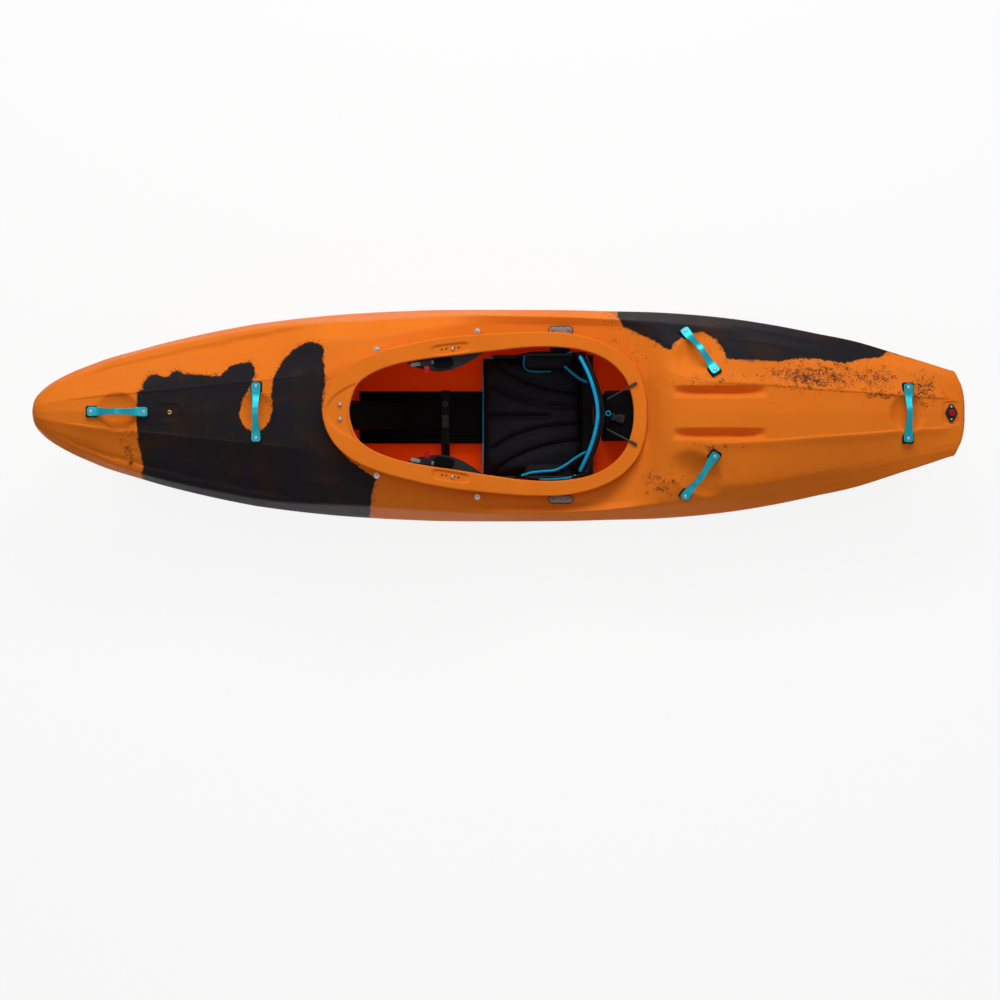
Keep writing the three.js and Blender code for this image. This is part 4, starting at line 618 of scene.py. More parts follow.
def mesh_object(name, points, faces, merge=0.02, values=None):
    """A mesh from points in millimetres, with named values for them and its doubles merged."""
    mesh = bpy.data.meshes.new(name)
    mesh.from_pydata([tuple(p) for p in np.asarray(points) * MM], [], faces)
    for key, numbers in (values or {}).items():
        mesh.attributes.new(key, "FLOAT", "POINT").data.foreach_set("value", numbers)
    body = bmesh.new()
    body.from_mesh(mesh)
    bmesh.ops.remove_doubles(body, verts=body.verts, dist=merge * MM)
    bmesh.ops.dissolve_degenerate(body, edges=body.edges, dist=1e-7)
    body.to_mesh(mesh)
    body.free()
    mesh.polygons.foreach_set("use_smooth", [True] * len(mesh.polygons))
    obj = bpy.data.objects.new(name, mesh)
    scene.collection.objects.link(obj)
    return obj


rows, columns = outer_skin.shape[:2]
inner_rows, inner_columns = inner_skin.shape[:2]
first_inner = rows * columns
points = np.concatenate([outer_skin.reshape(-1, 3), inner_skin.reshape(-1, 3)])
# The bow is a little finer than its sections give, and the stern's corners are fuller.
fullness = np.array([
    (-1360, 0.82), (-1330, 0.86), (-1290, 0.885), (-1240, 0.92), (-1180, 0.943), (-1080, 0.955),
    (-960, 0.972), (-840, 0.988), (-740, 1), (950, 1), (1062, 1.02), (1180, 1.034),
    (1299, 1.08), (1329, 1.1), (1344, 1.15), (1360, 1.2),
])
points[:, 1] *= np.interp(points[:, 0], fullness[:, 0], fullness[:, 1])
faces = grid_faces(rows, columns, 0, True)
faces += grid_faces(inner_rows, inner_columns, first_inner, False)
# Caps at the bow's tip, on the transom and on the two ends of the inner skin
faces.append(tuple(range(0, columns)))
faces.append(tuple(range((rows - 1) * columns, rows * columns))[::-1])
faces.append(tuple(range(first_inner, first_inner + inner_columns))[::-1])
end = first_inner + (inner_rows - 1) * inner_columns
faces.append(tuple(range(end, end + inner_columns)))
inner_index = {station: i for i, station in enumerate(keep)}
for i in range(cut_from, cut_to):
    a, b = i * columns, (i + 1) * columns
    c, d = (first_inner + inner_index[k] * inner_columns for k in (i, i + 1))
    faces.append((a, b, d, c))
    m, n = columns - 1, inner_columns - 1
    faces.append((b + m, a + m, c + n, d + n))

# Charcoal patches of the orange plastic. Their outlines are (x, spread) in millimetres, where
# spread is y on the deck and goes on down the side and under the bottom, port negative.
patches = [
    [(-1160, -900), (-1142, -380), (-1098, -260), (-1062, -188), (-1050, -159), (-1059, -72),
     (-1059, 58), (-1044, 67), (-1042, 90), (-1030, 107), (-1013, 113), (-992, 107),
     (-978, 101), (-963, 119), (-946, 125), (-926, 113), (-876, 110), (-821, 107), (-813, 119),
     (-795, 136), (-760, 148), (-737, 148), (-723, 133), (-720, 107), (-726, 84), (-743, 52),
     (-757, 29), (-763, 0), (-759, -26), (-746, -46), (-720, -57), (-696, -50), (-676, -24),
     (-667, 9), (-670, 58), (-664, 96), (-655, 125), (-638, 157), (-612, 186), (-580, 204),
     (-551, 207), (-527, 198), (-519, 180), (-521, 154), (-513, 102), (-519, 52), (-524, 9),
     (-516, -29), (-495, -73), (-460, -122), (-425, -154), (-393, -175), (-367, -192),
     (-378, -225), (-387, -272), (-405, -330), (-428, -420), (-436, -900)],
    [(-1150, 900), (-1100, 560), (-1000, 480), (-860, 520), (-700, 580), (-560, 590),
     (-470, 660), (-440, 900)],
    [(350, -900), (376, -452), (443, -430), (534, -399), (607, -417), (703, -398), (817, -359),
     (929, -331), (981, -341), (1010, -420), (1030, -900)],
    [(330, 900), (420, 640), (600, 560), (800, 500), (960, 520), (1030, 900)],
    [(343, 290), (350, 278), (362, 262), (387, 247), (434, 226), (478, 194), (496, 188),
     (511, 212), (552, 235), (596, 241), (631, 218), (652, 179), (658, 159), (705, 156),
     (802, 150), (890, 162), (934, 159), (1008, 147), (1066, 162), (1116, 165), (1140, 185),
     (1184, 173), (1213, 162), (1236, 210), (1190, 300), (1050, 350), (880, 392), (700, 405),
     (560, 398), (430, 372), (352, 340)],
]
# Where the charcoal powder is scattered: x, spread, their two reaches, strength.
powder = [
    (-1086, -130, 36, 170, 0.62), (-1120, -330, 60, 200, 0.8), (-521, 40, 30, 110, 0.8),
    (-420, -420, 50, 230, 0.8), (930, 108, 210, 60, 0.86), (1090, 100, 110, 62, 0.74),
    (1236, 66, 60, 70, 0.84), (464, -206, 90, 70, 0.62), (600, -330, 260, 60, 0.35),
    (1000, -330, 90, 90, 0.7), (380, -440, 60, 90, 0.6), (700, 410, 420, 50, 0.7),
    (330, 300, 40, 80, 0.6), (620, 96, 170, 26, 0.6), (640, -96, 170, 24, 0.5),
    (720, 190, 150, 46, 0.5), (400, 190, 60, 70, 0.45), (1110, 52, 90, 20, 0.8),
    (-800, 560, 380, 90, 0.7), (700, 560, 330, 90, 0.7),
]


def spread_of(x, y, z):
    """The distance round the hull that the patches are drawn on."""
    breadth, seam = seam_at(share_of(x))
    below = 2 * breadth - np.abs(y) + np.maximum(seam - z, 0)
    return np.sign(y) * np.where(z > seam, np.abs(y), below)


def inside_distance(outline, x, v):
    """Distance to an outline in the plane, positive inside it."""
    ring = np.array(outline, dtype=float)
    nearest = np.full(x.shape, 1e9)
    within = np.zeros(x.shape, dtype=bool)
    for (ax, av), (bx, bv) in zip(ring, np.roll(ring, -1, axis=0)):
        ex, ev = bx - ax, bv - av
        t = np.clip(((x - ax) * ex + (v - av) * ev) / (ex * ex + ev * ev), 0, 1)
        nearest = np.minimum(nearest, np.hypot(x - ax - t * ex, v - av - t * ev))
        if av != bv:
            crosses = ((av > v) != (bv > v)) & (x < ax + (v - av) * ex / ev)
            within ^= crosses
    return np.where(within, nearest, -nearest)


def two_tone(points):
    """Values at points: distance into the charcoal, and how much powder lies about."""
    x, y, z = points.T
    v = spread_of(x, y, z)
    tone = np.full(x.shape, -1e9)
    for outline in patches:
        tone = np.maximum(tone, inside_distance(outline, x, v))
    fray = np.zeros(x.shape)
    for px, pv, long, wide, strength in powder:
        reach = ((x - px) / long) ** 2 + ((v - pv) / wide) ** 2
        fray = np.maximum(fray, strength * np.exp(-reach))
    return tone, fray


tone, fray = two_tone(points)
tone[first_inner:] = -200
fray[first_inner:] = 0
inside = np.zeros(len(points))
inside[first_inner:] = 1
hull_values = {"tone": tone, "fray": fray, "inside": inside}
hull = mesh_object("hull_moulding", points, faces, values=hull_values)


# Polyethylene: orange with charcoal patches, powdery along some of their edges, and painted a
# deeper red inside as painted shade and light through the shell.
# It is a little glossy, with an orange-peel skin, and its bottom is scuffed along the boat.
hull_material, nodes = new_material("moulded_polyethylene")


def noise_node(nodes, vector, scale, detail=2.0, rough=0.5):
    return plain_node(nodes, "TexNoise", Vector=vector, Scale=scale, Detail=detail,
                      Roughness=rough).outputs["Fac"]


def ramp_node(nodes, value, low, high, to_low=0.0, to_high=1.0, smoothed=False):
    node = plain_node(nodes, "MapRange", Value=value, From_Min=low, From_Max=high, To_Min=to_low,
                      To_Max=to_high)
    node.interpolation_type = "SMOOTHSTEP" if smoothed else "LINEAR"
    return node.outputs[0]


def mix_node(nodes, amount, a, b, blend="MIX"):
    node = nodes.new("ShaderNodeMix")
    node.data_type = "RGBA"
    node.blend_type = blend
    link_value(node, "Factor", amount)
    for socket, value in ((6, a), (7, b)):
        link_value(node, socket, (*value, 1) if isinstance(value, tuple) else value)
    return node.outputs[2]


def stretched(nodes, scale, turn=(0, 0, 0)):
    """Object coordinates, in metres, scaled along each axis."""
    place = nodes.new("ShaderNodeTexCoord").outputs["Object"]
    return plain_node(nodes, "Mapping", Vector=place, Scale=scale, Rotation=turn).outputs[0]


def bump_node(nodes, height, strength, distance):
    return plain_node(nodes, "Bump", Strength=strength, Distance=distance,
                      Height=height).outputs[0]


def surface_node(nodes, colour, roughness, normal, metallic=0.0, **sockets):
    node = plain_node(nodes, "BsdfPrincipled", Base_Color=colour, Roughness=roughness,
                      Normal=normal, Metallic=metallic, **sockets)
    plain_node(nodes, "OutputMaterial", Surface=node.outputs[0])


def value_of(nodes, name):
    node = nodes.new("ShaderNodeAttribute")
    node.attribute_name = name
    return node.outputs["Fac"]


place = stretched(nodes, (1, 1, 1))
wander = math_node(nodes, "SUBTRACT", noise_node(nodes, place, 55, 4, 0.6), 0.5)
spray = math_node(nodes, "MULTIPLY_ADD", noise_node(nodes, place, 230, 3, 0.6), 1.2, -0.6)
edge = math_node(nodes, "MULTIPLY_ADD", wander, 14.0, value_of(nodes, "tone"))
edge = math_node(nodes, "MULTIPLY_ADD", spray, 8.0, edge)
fray = value_of(nodes, "fray")
solid_dark = ramp_node(nodes, edge, -2.2, 2.2)
clusters = noise_node(nodes, place, 52, 4, 0.6)
loose = math_node(nodes, "MULTIPLY_ADD", spray, 0.85, math_node(nodes, "MULTIPLY", clusters, 0.9))
powdered = math_node(nodes, "MULTIPLY_ADD", fray, 0.5, loose)
dots = ramp_node(nodes, powdered, 0.75, 0.98, 0, 0.92)
near_edge = ramp_node(nodes, edge, -26, 0, 0, 1)
mist = math_node(nodes, "MULTIPLY_ADD", near_edge, 0.32, loose)
overspray = ramp_node(nodes, mist, 0.74, 0.98, 0, 0.8)
dark = math_node(nodes, "MAXIMUM", solid_dark, math_node(nodes, "MAXIMUM", dots, overspray))
cloud = noise_node(nodes, place, 7, 3, 0.55)
orange = mix_node(nodes, cloud, (0.79, 0.174, 0.012), (0.88, 0.216, 0.02))
thin = ramp_node(nodes, noise_node(nodes, place, 9, 5, 0.6), 0.46, 0.75, smoothed=True)
charcoal = mix_node(nodes, thin, (0.0165, 0.014, 0.0165), (0.036, 0.0175, 0.01))
outer_colour = mix_node(nodes, dark, orange, charcoal)
# The inner skin is painted a deeper, redder orange: painted shade and light through the thin shell.
inner_shaded_colour = mix_node(nodes, cloud, (0.93, 0.07, 0.0008), (1.0, 0.12, 0.0015))
colour = mix_node(nodes, value_of(nodes, "inside"), outer_colour, inner_shaded_colour)
scuffs = noise_node(nodes, stretched(nodes, (7, 260, 260)), 1, 4, 0.6)
height = plain_node(nodes, "SeparateXYZ", Vector=place)
low_down = ramp_node(nodes, height.outputs["Z"], 0.03, 0.13, 1, 0.06, True)
scuffed = math_node(nodes, "MULTIPLY", ramp_node(nodes, scuffs, 0.55, 0.72), low_down)
peel = noise_node(nodes, place, 420, 2, 0.5)
skin_height = math_node(nodes, "MULTIPLY_ADD", scuffed, -0.6, peel)
normal = bump_node(nodes, skin_height, 0.16, 0.0006)
gloss = ramp_node(nodes, noise_node(nodes, place, 24, 4, 0.6), 0.3, 0.75, 0.3, 0.42)
roughness = math_node(nodes, "MULTIPLY_ADD", scuffed, 0.2, gloss)
roughness = math_node(nodes, "MULTIPLY_ADD", value_of(nodes, "inside"), 0.3, roughness)
# Painted glow: the inner side emits a little red light of its own, which stands in for daylight
# through the thin shell.
through = mix_node(nodes, value_of(nodes, "inside"), (0.0, 0.0, 0.0), (0.085, 0.0035, 0.0003))
surface_node(nodes, colour, roughness, normal, Specular_IOR_Level=0.025, Emission_Color=through,
             Emission_Strength=1.0)
hull.data.materials.append(hull_material)

# Cockpit rim: a rolled lip over a riser, with a broad flange that falls inwards to the hatch.
# It has a long recess with five holes over each thigh brace, and a crescent one at the front.
rim_profile = [
    (1.0, 9), (0.3, 8.6), (0, 7.6), (0, 4.4), (0.35, 2.7), (1.2, 1.2), (2.6, 0.3), (4.4, 0),
]
RIM_TOP_POINTS = 22
BRACE_RECESS_X, BRACE_RECESS_Y, BRACE_HEADING, BRACE_RECESS_DEEP = -151, 186, 0.155, 5.5
CRESCENT_DEEP, CRESCENT_EDGE, CRESCENT_HALF_WIDTH, CRESCENT_BACK = 4.8, 2.6, 80, -380
riser_in = RIM_OVERHANG + RIM_RISER
rings = []
for i in range(RIM_STATIONS):
    width = rim_width[i]
    path = list(rim_profile)
    path += [(a, 0) for a in np.linspace(7, width - 5, RIM_TOP_POINTS)]
    path += [(width - 3, 0.3), (width - 1.4, 1.3), (width - 0.3, 3), (width, 5), (width, 9)]
    path += [(width - 0.6, 11), (width - 2.2, 12), (width - 4.2, 11.6), (riser_in + 2, 9.4)]
    path += [(riser_in, 11), (riser_in, None), (RIM_OVERHANG, None), (RIM_OVERHANG, 10.6)]
    path += [(RIM_OVERHANG - 1.4, 9.2), (8, 9)]
    at_riser = rim_outer[i] + rim_across[i] * RIM_OVERHANG
    dense = np.linspace(0, 4, 300)[None, :]
    half = section_at(section_corners(at_riser[:1]), dense)[0]
    foot = np.interp(abs(at_riser[1]), half[:, 0], half[:, 1]) - 3
    ring = []
    for inwards, below in path:
        x, y = rim_outer[i] + rim_across[i] * inwards
        top = rim_top(np.array([x]))[0]
        ring.append((x, y, min(foot, top - 14) if below is None else top - below))
    rings.append(ring)
rings = np.array(rings)
on_top = np.zeros(rings.shape[:2], dtype=bool)
on_top[:, len(rim_profile) - 1 : len(rim_profile) + RIM_TOP_POINTS] = True
flat_x, flat_y = rings[..., 0], rings[..., 1]
pocket = np.zeros(flat_x.shape)
for side in (-1, 1):
    recess = squircle(flat_x, flat_y, BRACE_RECESS_X, side * BRACE_RECESS_Y, 52, 14, 2.4,
                      side * BRACE_HEADING, 5)
    pocket = np.maximum(pocket, BRACE_RECESS_DEEP * recess)
# The front recess is a crescent between the hatch's edge and a wider arc that runs into it.
inwards = np.hypot(flat_x - rim_outer[:, None, 0], flat_y - rim_outer[:, None, 1])
lip_from = rim_width[:, None] - 7
off_middle = np.abs(rim_inner[:, None, 1]) / CRESCENT_HALF_WIDTH
arc_from = 10 + (lip_from - 10) * off_middle**2
front = smooth((inwards - arc_from) / CRESCENT_EDGE)
front = front * smooth((lip_from - inwards) / CRESCENT_EDGE + 0.5)
front = front * (rim_inner[:, None, 0] < CRESCENT_BACK)
pocket = np.maximum(pocket, CRESCENT_DEEP * front)
rings[..., 2] -= np.where(on_top, pocket, 0)
columns = rings.shape[1]
points = rings.reshape(-1, 3)
faces = [
    (i * columns + j, i * columns + (j + 1) % columns, k * columns + (j + 1) % columns,
     k * columns + j)
    for i, k in ((i, (i + 1) % RIM_STATIONS) for i in range(RIM_STATIONS)) for j in range(columns)
]
tone, fray = two_tone(points)
tone = np.minimum(tone, 30) - 60  # the rim is orange all round, with some powder
rim = mesh_object("cockpit_rim", points, faces, values={"tone": tone, "fray": fray * 0.5})
rim.data.materials.append(hull_material)


def recalculate(obj):
    body = bmesh.new()
    body.from_mesh(obj.data)
    bmesh.ops.recalc_face_normals(body, faces=body.faces)
    body.to_mesh(obj.data)
    body.free()


for piece in (hull, rim):
    recalculate(piece)
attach(rim, "hull")
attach(hull, "hull")
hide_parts("hull_shell")

# Bolts: stainless button heads with a hex socket, wherever a handle, rail or brace is held.
# One bolt is turned from a section for every place, with its own mesh each time.


def new_group(name, inputs, outputs):
    """A node group with a vector and number sockets: its nodes, its way in and its way out."""
    group = bpy.data.node_groups.new(name, "ShaderNodeTree")
    for in_out, sockets in (("INPUT", inputs), ("OUTPUT", outputs)):
        for socket in sockets:
            kind = "NodeSocketVector" if socket == "Vector" else "NodeSocketFloat"
            group.interface.new_socket(socket, in_out=in_out, socket_type=kind)
    nodes = group.nodes
    return nodes, nodes.new("NodeGroupInput").outputs, nodes.new("NodeGroupOutput")


def group_node(nodes, name, **sockets):
    node = nodes.new("ShaderNodeGroup")
    node.node_tree = bpy.data.node_groups[name]
    for socket, value in sockets.items():
        link_value(node, socket.replace("_", " "), value)
    return node.outputs


# Wear from handling, used by every small fitting: broad rubbed areas and a fine grain.
nodes, given, result = new_group("handling_wear", ("Vector", "Rub Scale", "Grain Scale"),
                                 ("Rubbed", "Grain"))
for name, scale, detail in (("Rubbed", "Rub Scale", 4), ("Grain", "Grain Scale", 2)):
    clouds = noise_node(nodes, given["Vector"], given[scale], detail, 0.6)
    link_value(result, name, ramp_node(nodes, clouds, 0.28, 0.72))


def fitting_material(name, tones, rub_scale, grain_scale, rough, bump, metallic=0.0, **sockets):
    """A fitting's finish: dull and rubbed tone and roughness by wear, with a grain in its skin."""
    material, nodes = new_material(name)
    wear = group_node(nodes, "handling_wear", Vector=stretched(nodes, (1, 1, 1)),
                      Rub_Scale=rub_scale, Grain_Scale=grain_scale)
    surface_node(nodes, mix_node(nodes, wear["Rubbed"], *tones),
                 ramp_node(nodes, wear["Rubbed"], 0, 1, *rough),
                 bump_node(nodes, wear["Grain"], *bump), metallic, **sockets)
    return material


steel_material = fitting_material("stainless_steel", ((0.2, 0.2, 0.21), (0.42, 0.42, 0.43)),
                                  260, 1500, (0.42, 0.26), (0.15, 0.0002), 1.0)


def deselect_all():
    if bpy.context.object and bpy.context.object.mode != "OBJECT":
        bpy.ops.object.mode_set(mode="OBJECT")
    bpy.ops.object.select_all(action="DESELECT")


def pick(obj):
    deselect_all()
    obj.select_set(True)
    bpy.context.view_layer.objects.active = obj


def settle(obj, matrix=None):
    """Puts a piece's place into its mesh, so that its object stands at the origin unturned."""
    whole = (matrix or Matrix()) @ obj.matrix_basis
    obj.data.transform(whole)
    if whole.determinant() < 0:
        obj.data.flip_normals()
    obj.matrix_basis = Matrix()


def apply_modifier(obj, kind, **settings):
    pick(obj)
    modifier = obj.modifiers.new(kind.lower(), kind)
    for key, value in settings.items():
        setattr(modifier, key, value)
    bpy.ops.object.modifier_apply(modifier=modifier.name)


def smooth_edges(obj, degrees=35):
    pick(obj)
    bpy.ops.object.shade_smooth_by_angle(angle=math.radians(degrees))


def finish_piece(obj, material, body, slot, *nodes_replaced):
    obj.data.materials.clear()
    obj.data.materials.append(material)
    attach(obj, body)
    if nodes_replaced:
        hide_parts(*nodes_replaced)


def body_of(node):
    bodies = frame["record"]["behaviour"]["bodies"]
    return next((body for body, names in bodies.items() if node in names), "hull")


def points_of(obj):
    found = np.empty(len(obj.data.vertices) * 3)
    obj.data.vertices.foreach_get("co", found)
    return found.reshape(-1, 3)


def move_points(obj, points):
    obj.data.vertices.foreach_set("co", points.ravel())
    obj.data.update()


def tube_faces(rows, sides, capped=True):
    """Faces of a tube of rings, with a face on each end if it is capped."""
    faces = []
    for first in range(0, (rows - 1) * sides, sides):
        for j in range(sides):
            k = (j + 1) % sides
            faces.append((first + j, first + k, first + sides + k, first + sides + j))
    if capped:
        faces.append(tuple(range(sides))[::-1])
        faces.append(tuple(range((rows - 1) * sides, rows * sides)))
    return faces


def turned_piece(name, profile, sides=32, capped=True):
    """A piece turned about Z from (radius, height) in millimetres, from its foot to its top.

    A third number in a row of the profile makes that ring a hexagon.
    """
    ring = np.linspace(0, 2 * math.pi, sides, endpoint=False)
    rows = [
        [(r * math.cos(a), r * math.sin(a), h) for a in ring] for r, h, *rest in profile
    ]
    for row, (r, h, *rest) in zip(rows, profile):
        if rest:
            for k, a in enumerate(ring):
                flat = math.cos(math.pi / 6) / math.cos((a % (math.pi / 3)) - math.pi / 6)
                row[k] = (r * flat * math.cos(a), r * flat * math.sin(a), h)
    verts = [p for row in rows for p in row]
    return mesh_object(name, verts, tube_faces(len(rows), sides, capped), merge=0.001)


BOLT_HIGH = 3.4
bolt_profile = [
    (2.2, -14), (3, -13), (3, 0), (5.1, 0), (5.45, 0.25), (5.5, 0.7), (5.3, 1.4), (4.8, 2.1),
    (4.1, 2.75), (3.3, 3.2), (2.6, BOLT_HIGH), (2.25, 3.35, 6), (2.1, 3.1, 6), (2.1, 1.3, 6),
    (1.2, 1.0, 6),
]
washer_profile = [
    (2.2, -14), (3, -13), (3, -0.3), (7.9, -0.3), (8.2, 0), (8.2, 0.8), (7.9, 1.1), (5.5, 1.15),
    (5.45, 1.4),
]
for node in sorted(frame["nodes"]):
    if "_bolt_" not in node:
        continue
    found = points_of(bpy.data.objects[node])
    centre = found.mean(axis=0)
    axis = np.linalg.svd(found - centre)[2][0]
    reach = (found - centre) @ axis
    off = np.linalg.norm(found - centre - reach[:, None] * axis, axis=1)
    upside_down = off[reach > reach.mean()].max() < off[reach < reach.mean()].max()
    if axis[2] < 0 if node.startswith("brace_bolt") else upside_down:
        axis, reach = -axis, -reach
    seat = centre + axis * (reach.max() - BOLT_HIGH * MM)
    washered = node.startswith(("deck_bolt", "rail_bolt"))
    profile = washer_profile + bolt_profile[7:] if washered else bolt_profile
    bolt = turned_piece(node.replace("_bolt_", "_screw_"), profile)
    spin = sum(map(ord, node)) % 60 / 60
    turn = Vector(axis).to_track_quat("Z", "Y").to_matrix().to_4x4()
    settle(bolt, Matrix.Translation(Vector(seat)) @ turn @ Matrix.Rotation(spin, 4, "Z"))
    smooth_edges(bolt, 40)
    finish_piece(bolt, steel_material, body_of(node), "stainless", node)

# Grab handles: five waisted straps of teal anodised aluminium, arched for the hand.
# Each stands on two black rubber pads that keep it clear of the deck; they reach a little past its
# ends, and their dark rim round each end is painted shade.
teal_material = fitting_material("teal_anodised", ((0.005, 0.2, 0.26), (0.01, 0.29, 0.35)),
                                 30, 1100, (0.4, 0.27), (0.12, 0.0002), 0.85)
rubber_material = fitting_material("black_rubber", ((0.004, 0.004, 0.0045), (0.014, 0.014, 0.015)),
                                   60, 1400, (0.55, 0.75), (0.3, 0.0002), Specular_IOR_Level=0.1)
# Each handle's own axes along, across and up, and its middle in millimetres.
handle_frames = {
    "bow": ((0.99273, 0, -0.12036), (0, 1, 0), (0.12036, 0, 0.99273), (-1111.04, 0, 394.37)),
    "foredeck": ((0, 1, 0), (-1, 0, 0), (0, 0, 1), (-714, 0, 372.24)),
    "rear_port": ((0.53947, 0.77632, 0.32604), (-0.84061, 0.51879, 0.15564),
                  (-0.04832, -0.35803, 0.93246), (580.61, -183.86, 307.36)),
    "rear_starboard": ((0.53947, -0.77632, 0.32604), (0.84061, 0.51879, -0.15564),
                       (-0.04832, 0.35803, 0.93246), (580.61, 183.86, 307.36)),
    "stern": ((0, 1, 0), (-1, 0, 0), (0, 0, 1), (1190, 0, 316.57)),
}


def frame_matrix(x_axis, y_axis, z_axis, origin):
    """The place of a piece from its own axes and its middle in millimetres."""
    matrix = Matrix.Identity(4)
    for column, vector in enumerate((x_axis, y_axis, z_axis)):
        matrix.col[column][:3] = vector
    matrix.col[3][:3] = [v * MM for v in origin]
    return matrix


HANDLE_REACH, HANDLE_ARCH, HANDLE_RISE, HANDLE_THICK = 86, 62, 17, 5
HANDLE_WAIST, HANDLE_END, HANDLE_TIP, WIDER_FROM, WIDER_OVER = 18, 27, 7, 26, 46
SHADE_PAD_SIZE, PAD_AT, PAD_MIDDLE, PAD_ROUND = (0.033, 0.034, 0.0128, 1), 0.0735, -0.0067, 0.0052
for name, axes in handle_frames.items():
    matrix = frame_matrix(*axes)
    deselect_all()
    bpy.ops.mesh.primitive_grid_add(x_subdivisions=64, y_subdivisions=8, size=2)
    handle = bpy.context.active_object
    handle.name = handle.data.name = "teal_handle_" + name
    for vertex in handle.data.vertices:
        u, v = vertex.co.x * HANDLE_REACH, vertex.co.y
        out = float(smooth(abs(u) / HANDLE_ARCH))
        widening = float(smooth((abs(u) - WIDER_FROM) / WIDER_OVER))
        half = (HANDLE_WAIST + (HANDLE_END - HANDLE_WAIST) * widening) / 2
        past = max(abs(u) - (HANDLE_REACH - HANDLE_TIP), 0) / HANDLE_TIP
        half -= HANDLE_TIP * (1 - math.sqrt(max(1 - past**2, 0)))
        vertex.co = Vector((u, v * half, HANDLE_RISE * (1 - out) + HANDLE_THICK - 0.05)) * MM
    apply_modifier(handle, "SOLIDIFY", thickness=HANDLE_THICK * MM - 0.0001, offset=-1)
    apply_modifier(handle, "BEVEL", width=0.0012, segments=3, limit_method="ANGLE",
                   angle_limit=math.radians(50))
    settle(handle, matrix)
    recalculate(handle)
    smooth_edges(handle, 50)
    finish_piece(handle, teal_material, "hull", "teal_aluminium", "grab_handle_" + name)
    # Pads a little wider than the handle's ends, so a dark rim shows round each end: painted shade.
    for end in (-1, 1):
        bpy.ops.mesh.primitive_cube_add(size=1)
        pad = bpy.context.active_object
        pad.name = "handle_pad_%s_%s" % (name, "a" if end < 0 else "b")
        pad.data.transform(Matrix.Diagonal(SHADE_PAD_SIZE))
        pad.data.transform(Matrix.Translation((end * PAD_AT, 0, PAD_MIDDLE)))
        pick(pad)
        bpy.ops.object.mode_set(mode="EDIT")
        bpy.ops.mesh.select_all(action="SELECT")
        bpy.ops.mesh.bevel(offset=PAD_ROUND, segments=5)
        bpy.ops.object.mode_set(mode="OBJECT")
        settle(pad, matrix)
        smooth_edges(pad, 60)
        finish_piece(pad, rubber_material, "hull", "seal_rubber")

# Camera mount: a brass insert, moulded into its square on the foredeck; its knurled collar is not
# drawn.
# Its threaded bore is open to the top.
brass_material = fitting_material("brass", ((0.42, 0.27, 0.07), (0.66, 0.46, 0.14)), 240, 1500,
                                  (0.4, 0.22), (0.15, 0.0002), 1.0)
THREAD_PITCH, THREAD_TURNS = 0.8, 12
insert_profile = [(5.6, -13.9), (6, -13.5), (6, -0.5), (5.6, 0), (3.7, 0), (3.1, -0.5)]
for turn in range(THREAD_TURNS):
    depth = -0.9 - turn * THREAD_PITCH
    insert_profile += [(3.1, depth), (2.75, depth - 0.35)]
insert_profile += [(2.7, -11), (0.4, -11.3)]
insert = turned_piece("camera_thread", insert_profile, 40)
settle(insert, Matrix.Translation((CAMERA_X * MM, 0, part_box("camera_insert")[1][2])))
smooth_edges(insert, 30)
finish_piece(insert, brass_material, "hull", "brass", "camera_insert")

# Drain: a black diamond seat held by two screws, a rubber ring and a red screw plug.
# The plug's head is ribbed for the fingers and slotted for a coin.
black_material = fitting_material("black_moulding", ((0.004, 0.004, 0.0045), (0.012, 0.012, 0.014)),
                                  40, 1100, (0.5, 0.36), (0.25, 0.0003), Specular_IOR_Level=0.16)
red_material = fitting_material("red_plastic", ((0.3, 0.004, 0.009), (0.42, 0.007, 0.015)), 70, 900,
                                (0.42, 0.3), (0.1, 0.0002), Specular_IOR_Level=0.15)
DRAIN_SCREW_Y = 18.2


def refined(node, name, bevel, segments=2):
    """A copy of a CAD node's shape with its flat faces joined up and its edges rounded."""
    mesh = bpy.data.objects[node].data.copy()
    mesh.materials.clear()
    piece = bpy.data.objects.new(name, mesh)
    scene.collection.objects.link(piece)
    pick(piece)
    bpy.ops.object.mode_set(mode="EDIT")
    bpy.ops.mesh.select_all(action="SELECT")
    bpy.ops.mesh.remove_doubles(threshold=1e-5)
    bpy.ops.mesh.dissolve_limited(angle_limit=math.radians(1))
    bpy.ops.object.mode_set(mode="OBJECT")
    if bevel:
        apply_modifier(piece, "BEVEL", width=bevel, segments=segments, limit_method="ANGLE",
                       angle_limit=math.radians(30), use_clamp_overlap=True)
    smooth_edges(piece, 40)
    return piece


def refined_piece(node, name, material, slot, bevel, segments=2):
    """A refined copy that stands for its CAD node and rides on the same body."""
    finish_piece(refined(node, name, bevel, segments), material, body_of(node), slot, node)


refined_piece("drain_seat", "drain_plate", black_material, "black_plastic", 0.0008)
drain_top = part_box("drain_seat")[1][2]
for end in (-1, 1):
    screw = turned_piece("drain_screw_" + ("port" if end < 0 else "starboard"), [
        (1.5, -3), (3.3, 0), (3.3, 0.5), (2.9, 1.2), (2, 1.7), (1.3, 1.8, 6), (1.3, 0.9, 6),
        (0.6, 0.8, 6),
    ], 24)
    spot = (DRAIN_X * MM, end * DRAIN_SCREW_Y * MM, drain_top - 0.0001)
    settle(screw, Matrix.Translation(spot))
    smooth_edges(screw, 40)
    finish_piece(screw, steel_material, "hull", "stainless")
seal = turned_piece("drain_gasket", [
    (7.5, 0.2), (8, 0), (9, 0), (9.5, 0.3), (9.6, 1), (9.5, 1.7), (9, 2), (8, 2), (7.5, 1.8),
    (7.45, 1), (7.5, 0.2),
], 48, capped=False)
recalculate(seal)
settle(seal, Matrix.Translation((DRAIN_X * MM, 0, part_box("drain_seal")[0][2])))
smooth_edges(seal, 50)
finish_piece(seal, rubber_material, "drain_ring", "seal_rubber", "drain_seal")
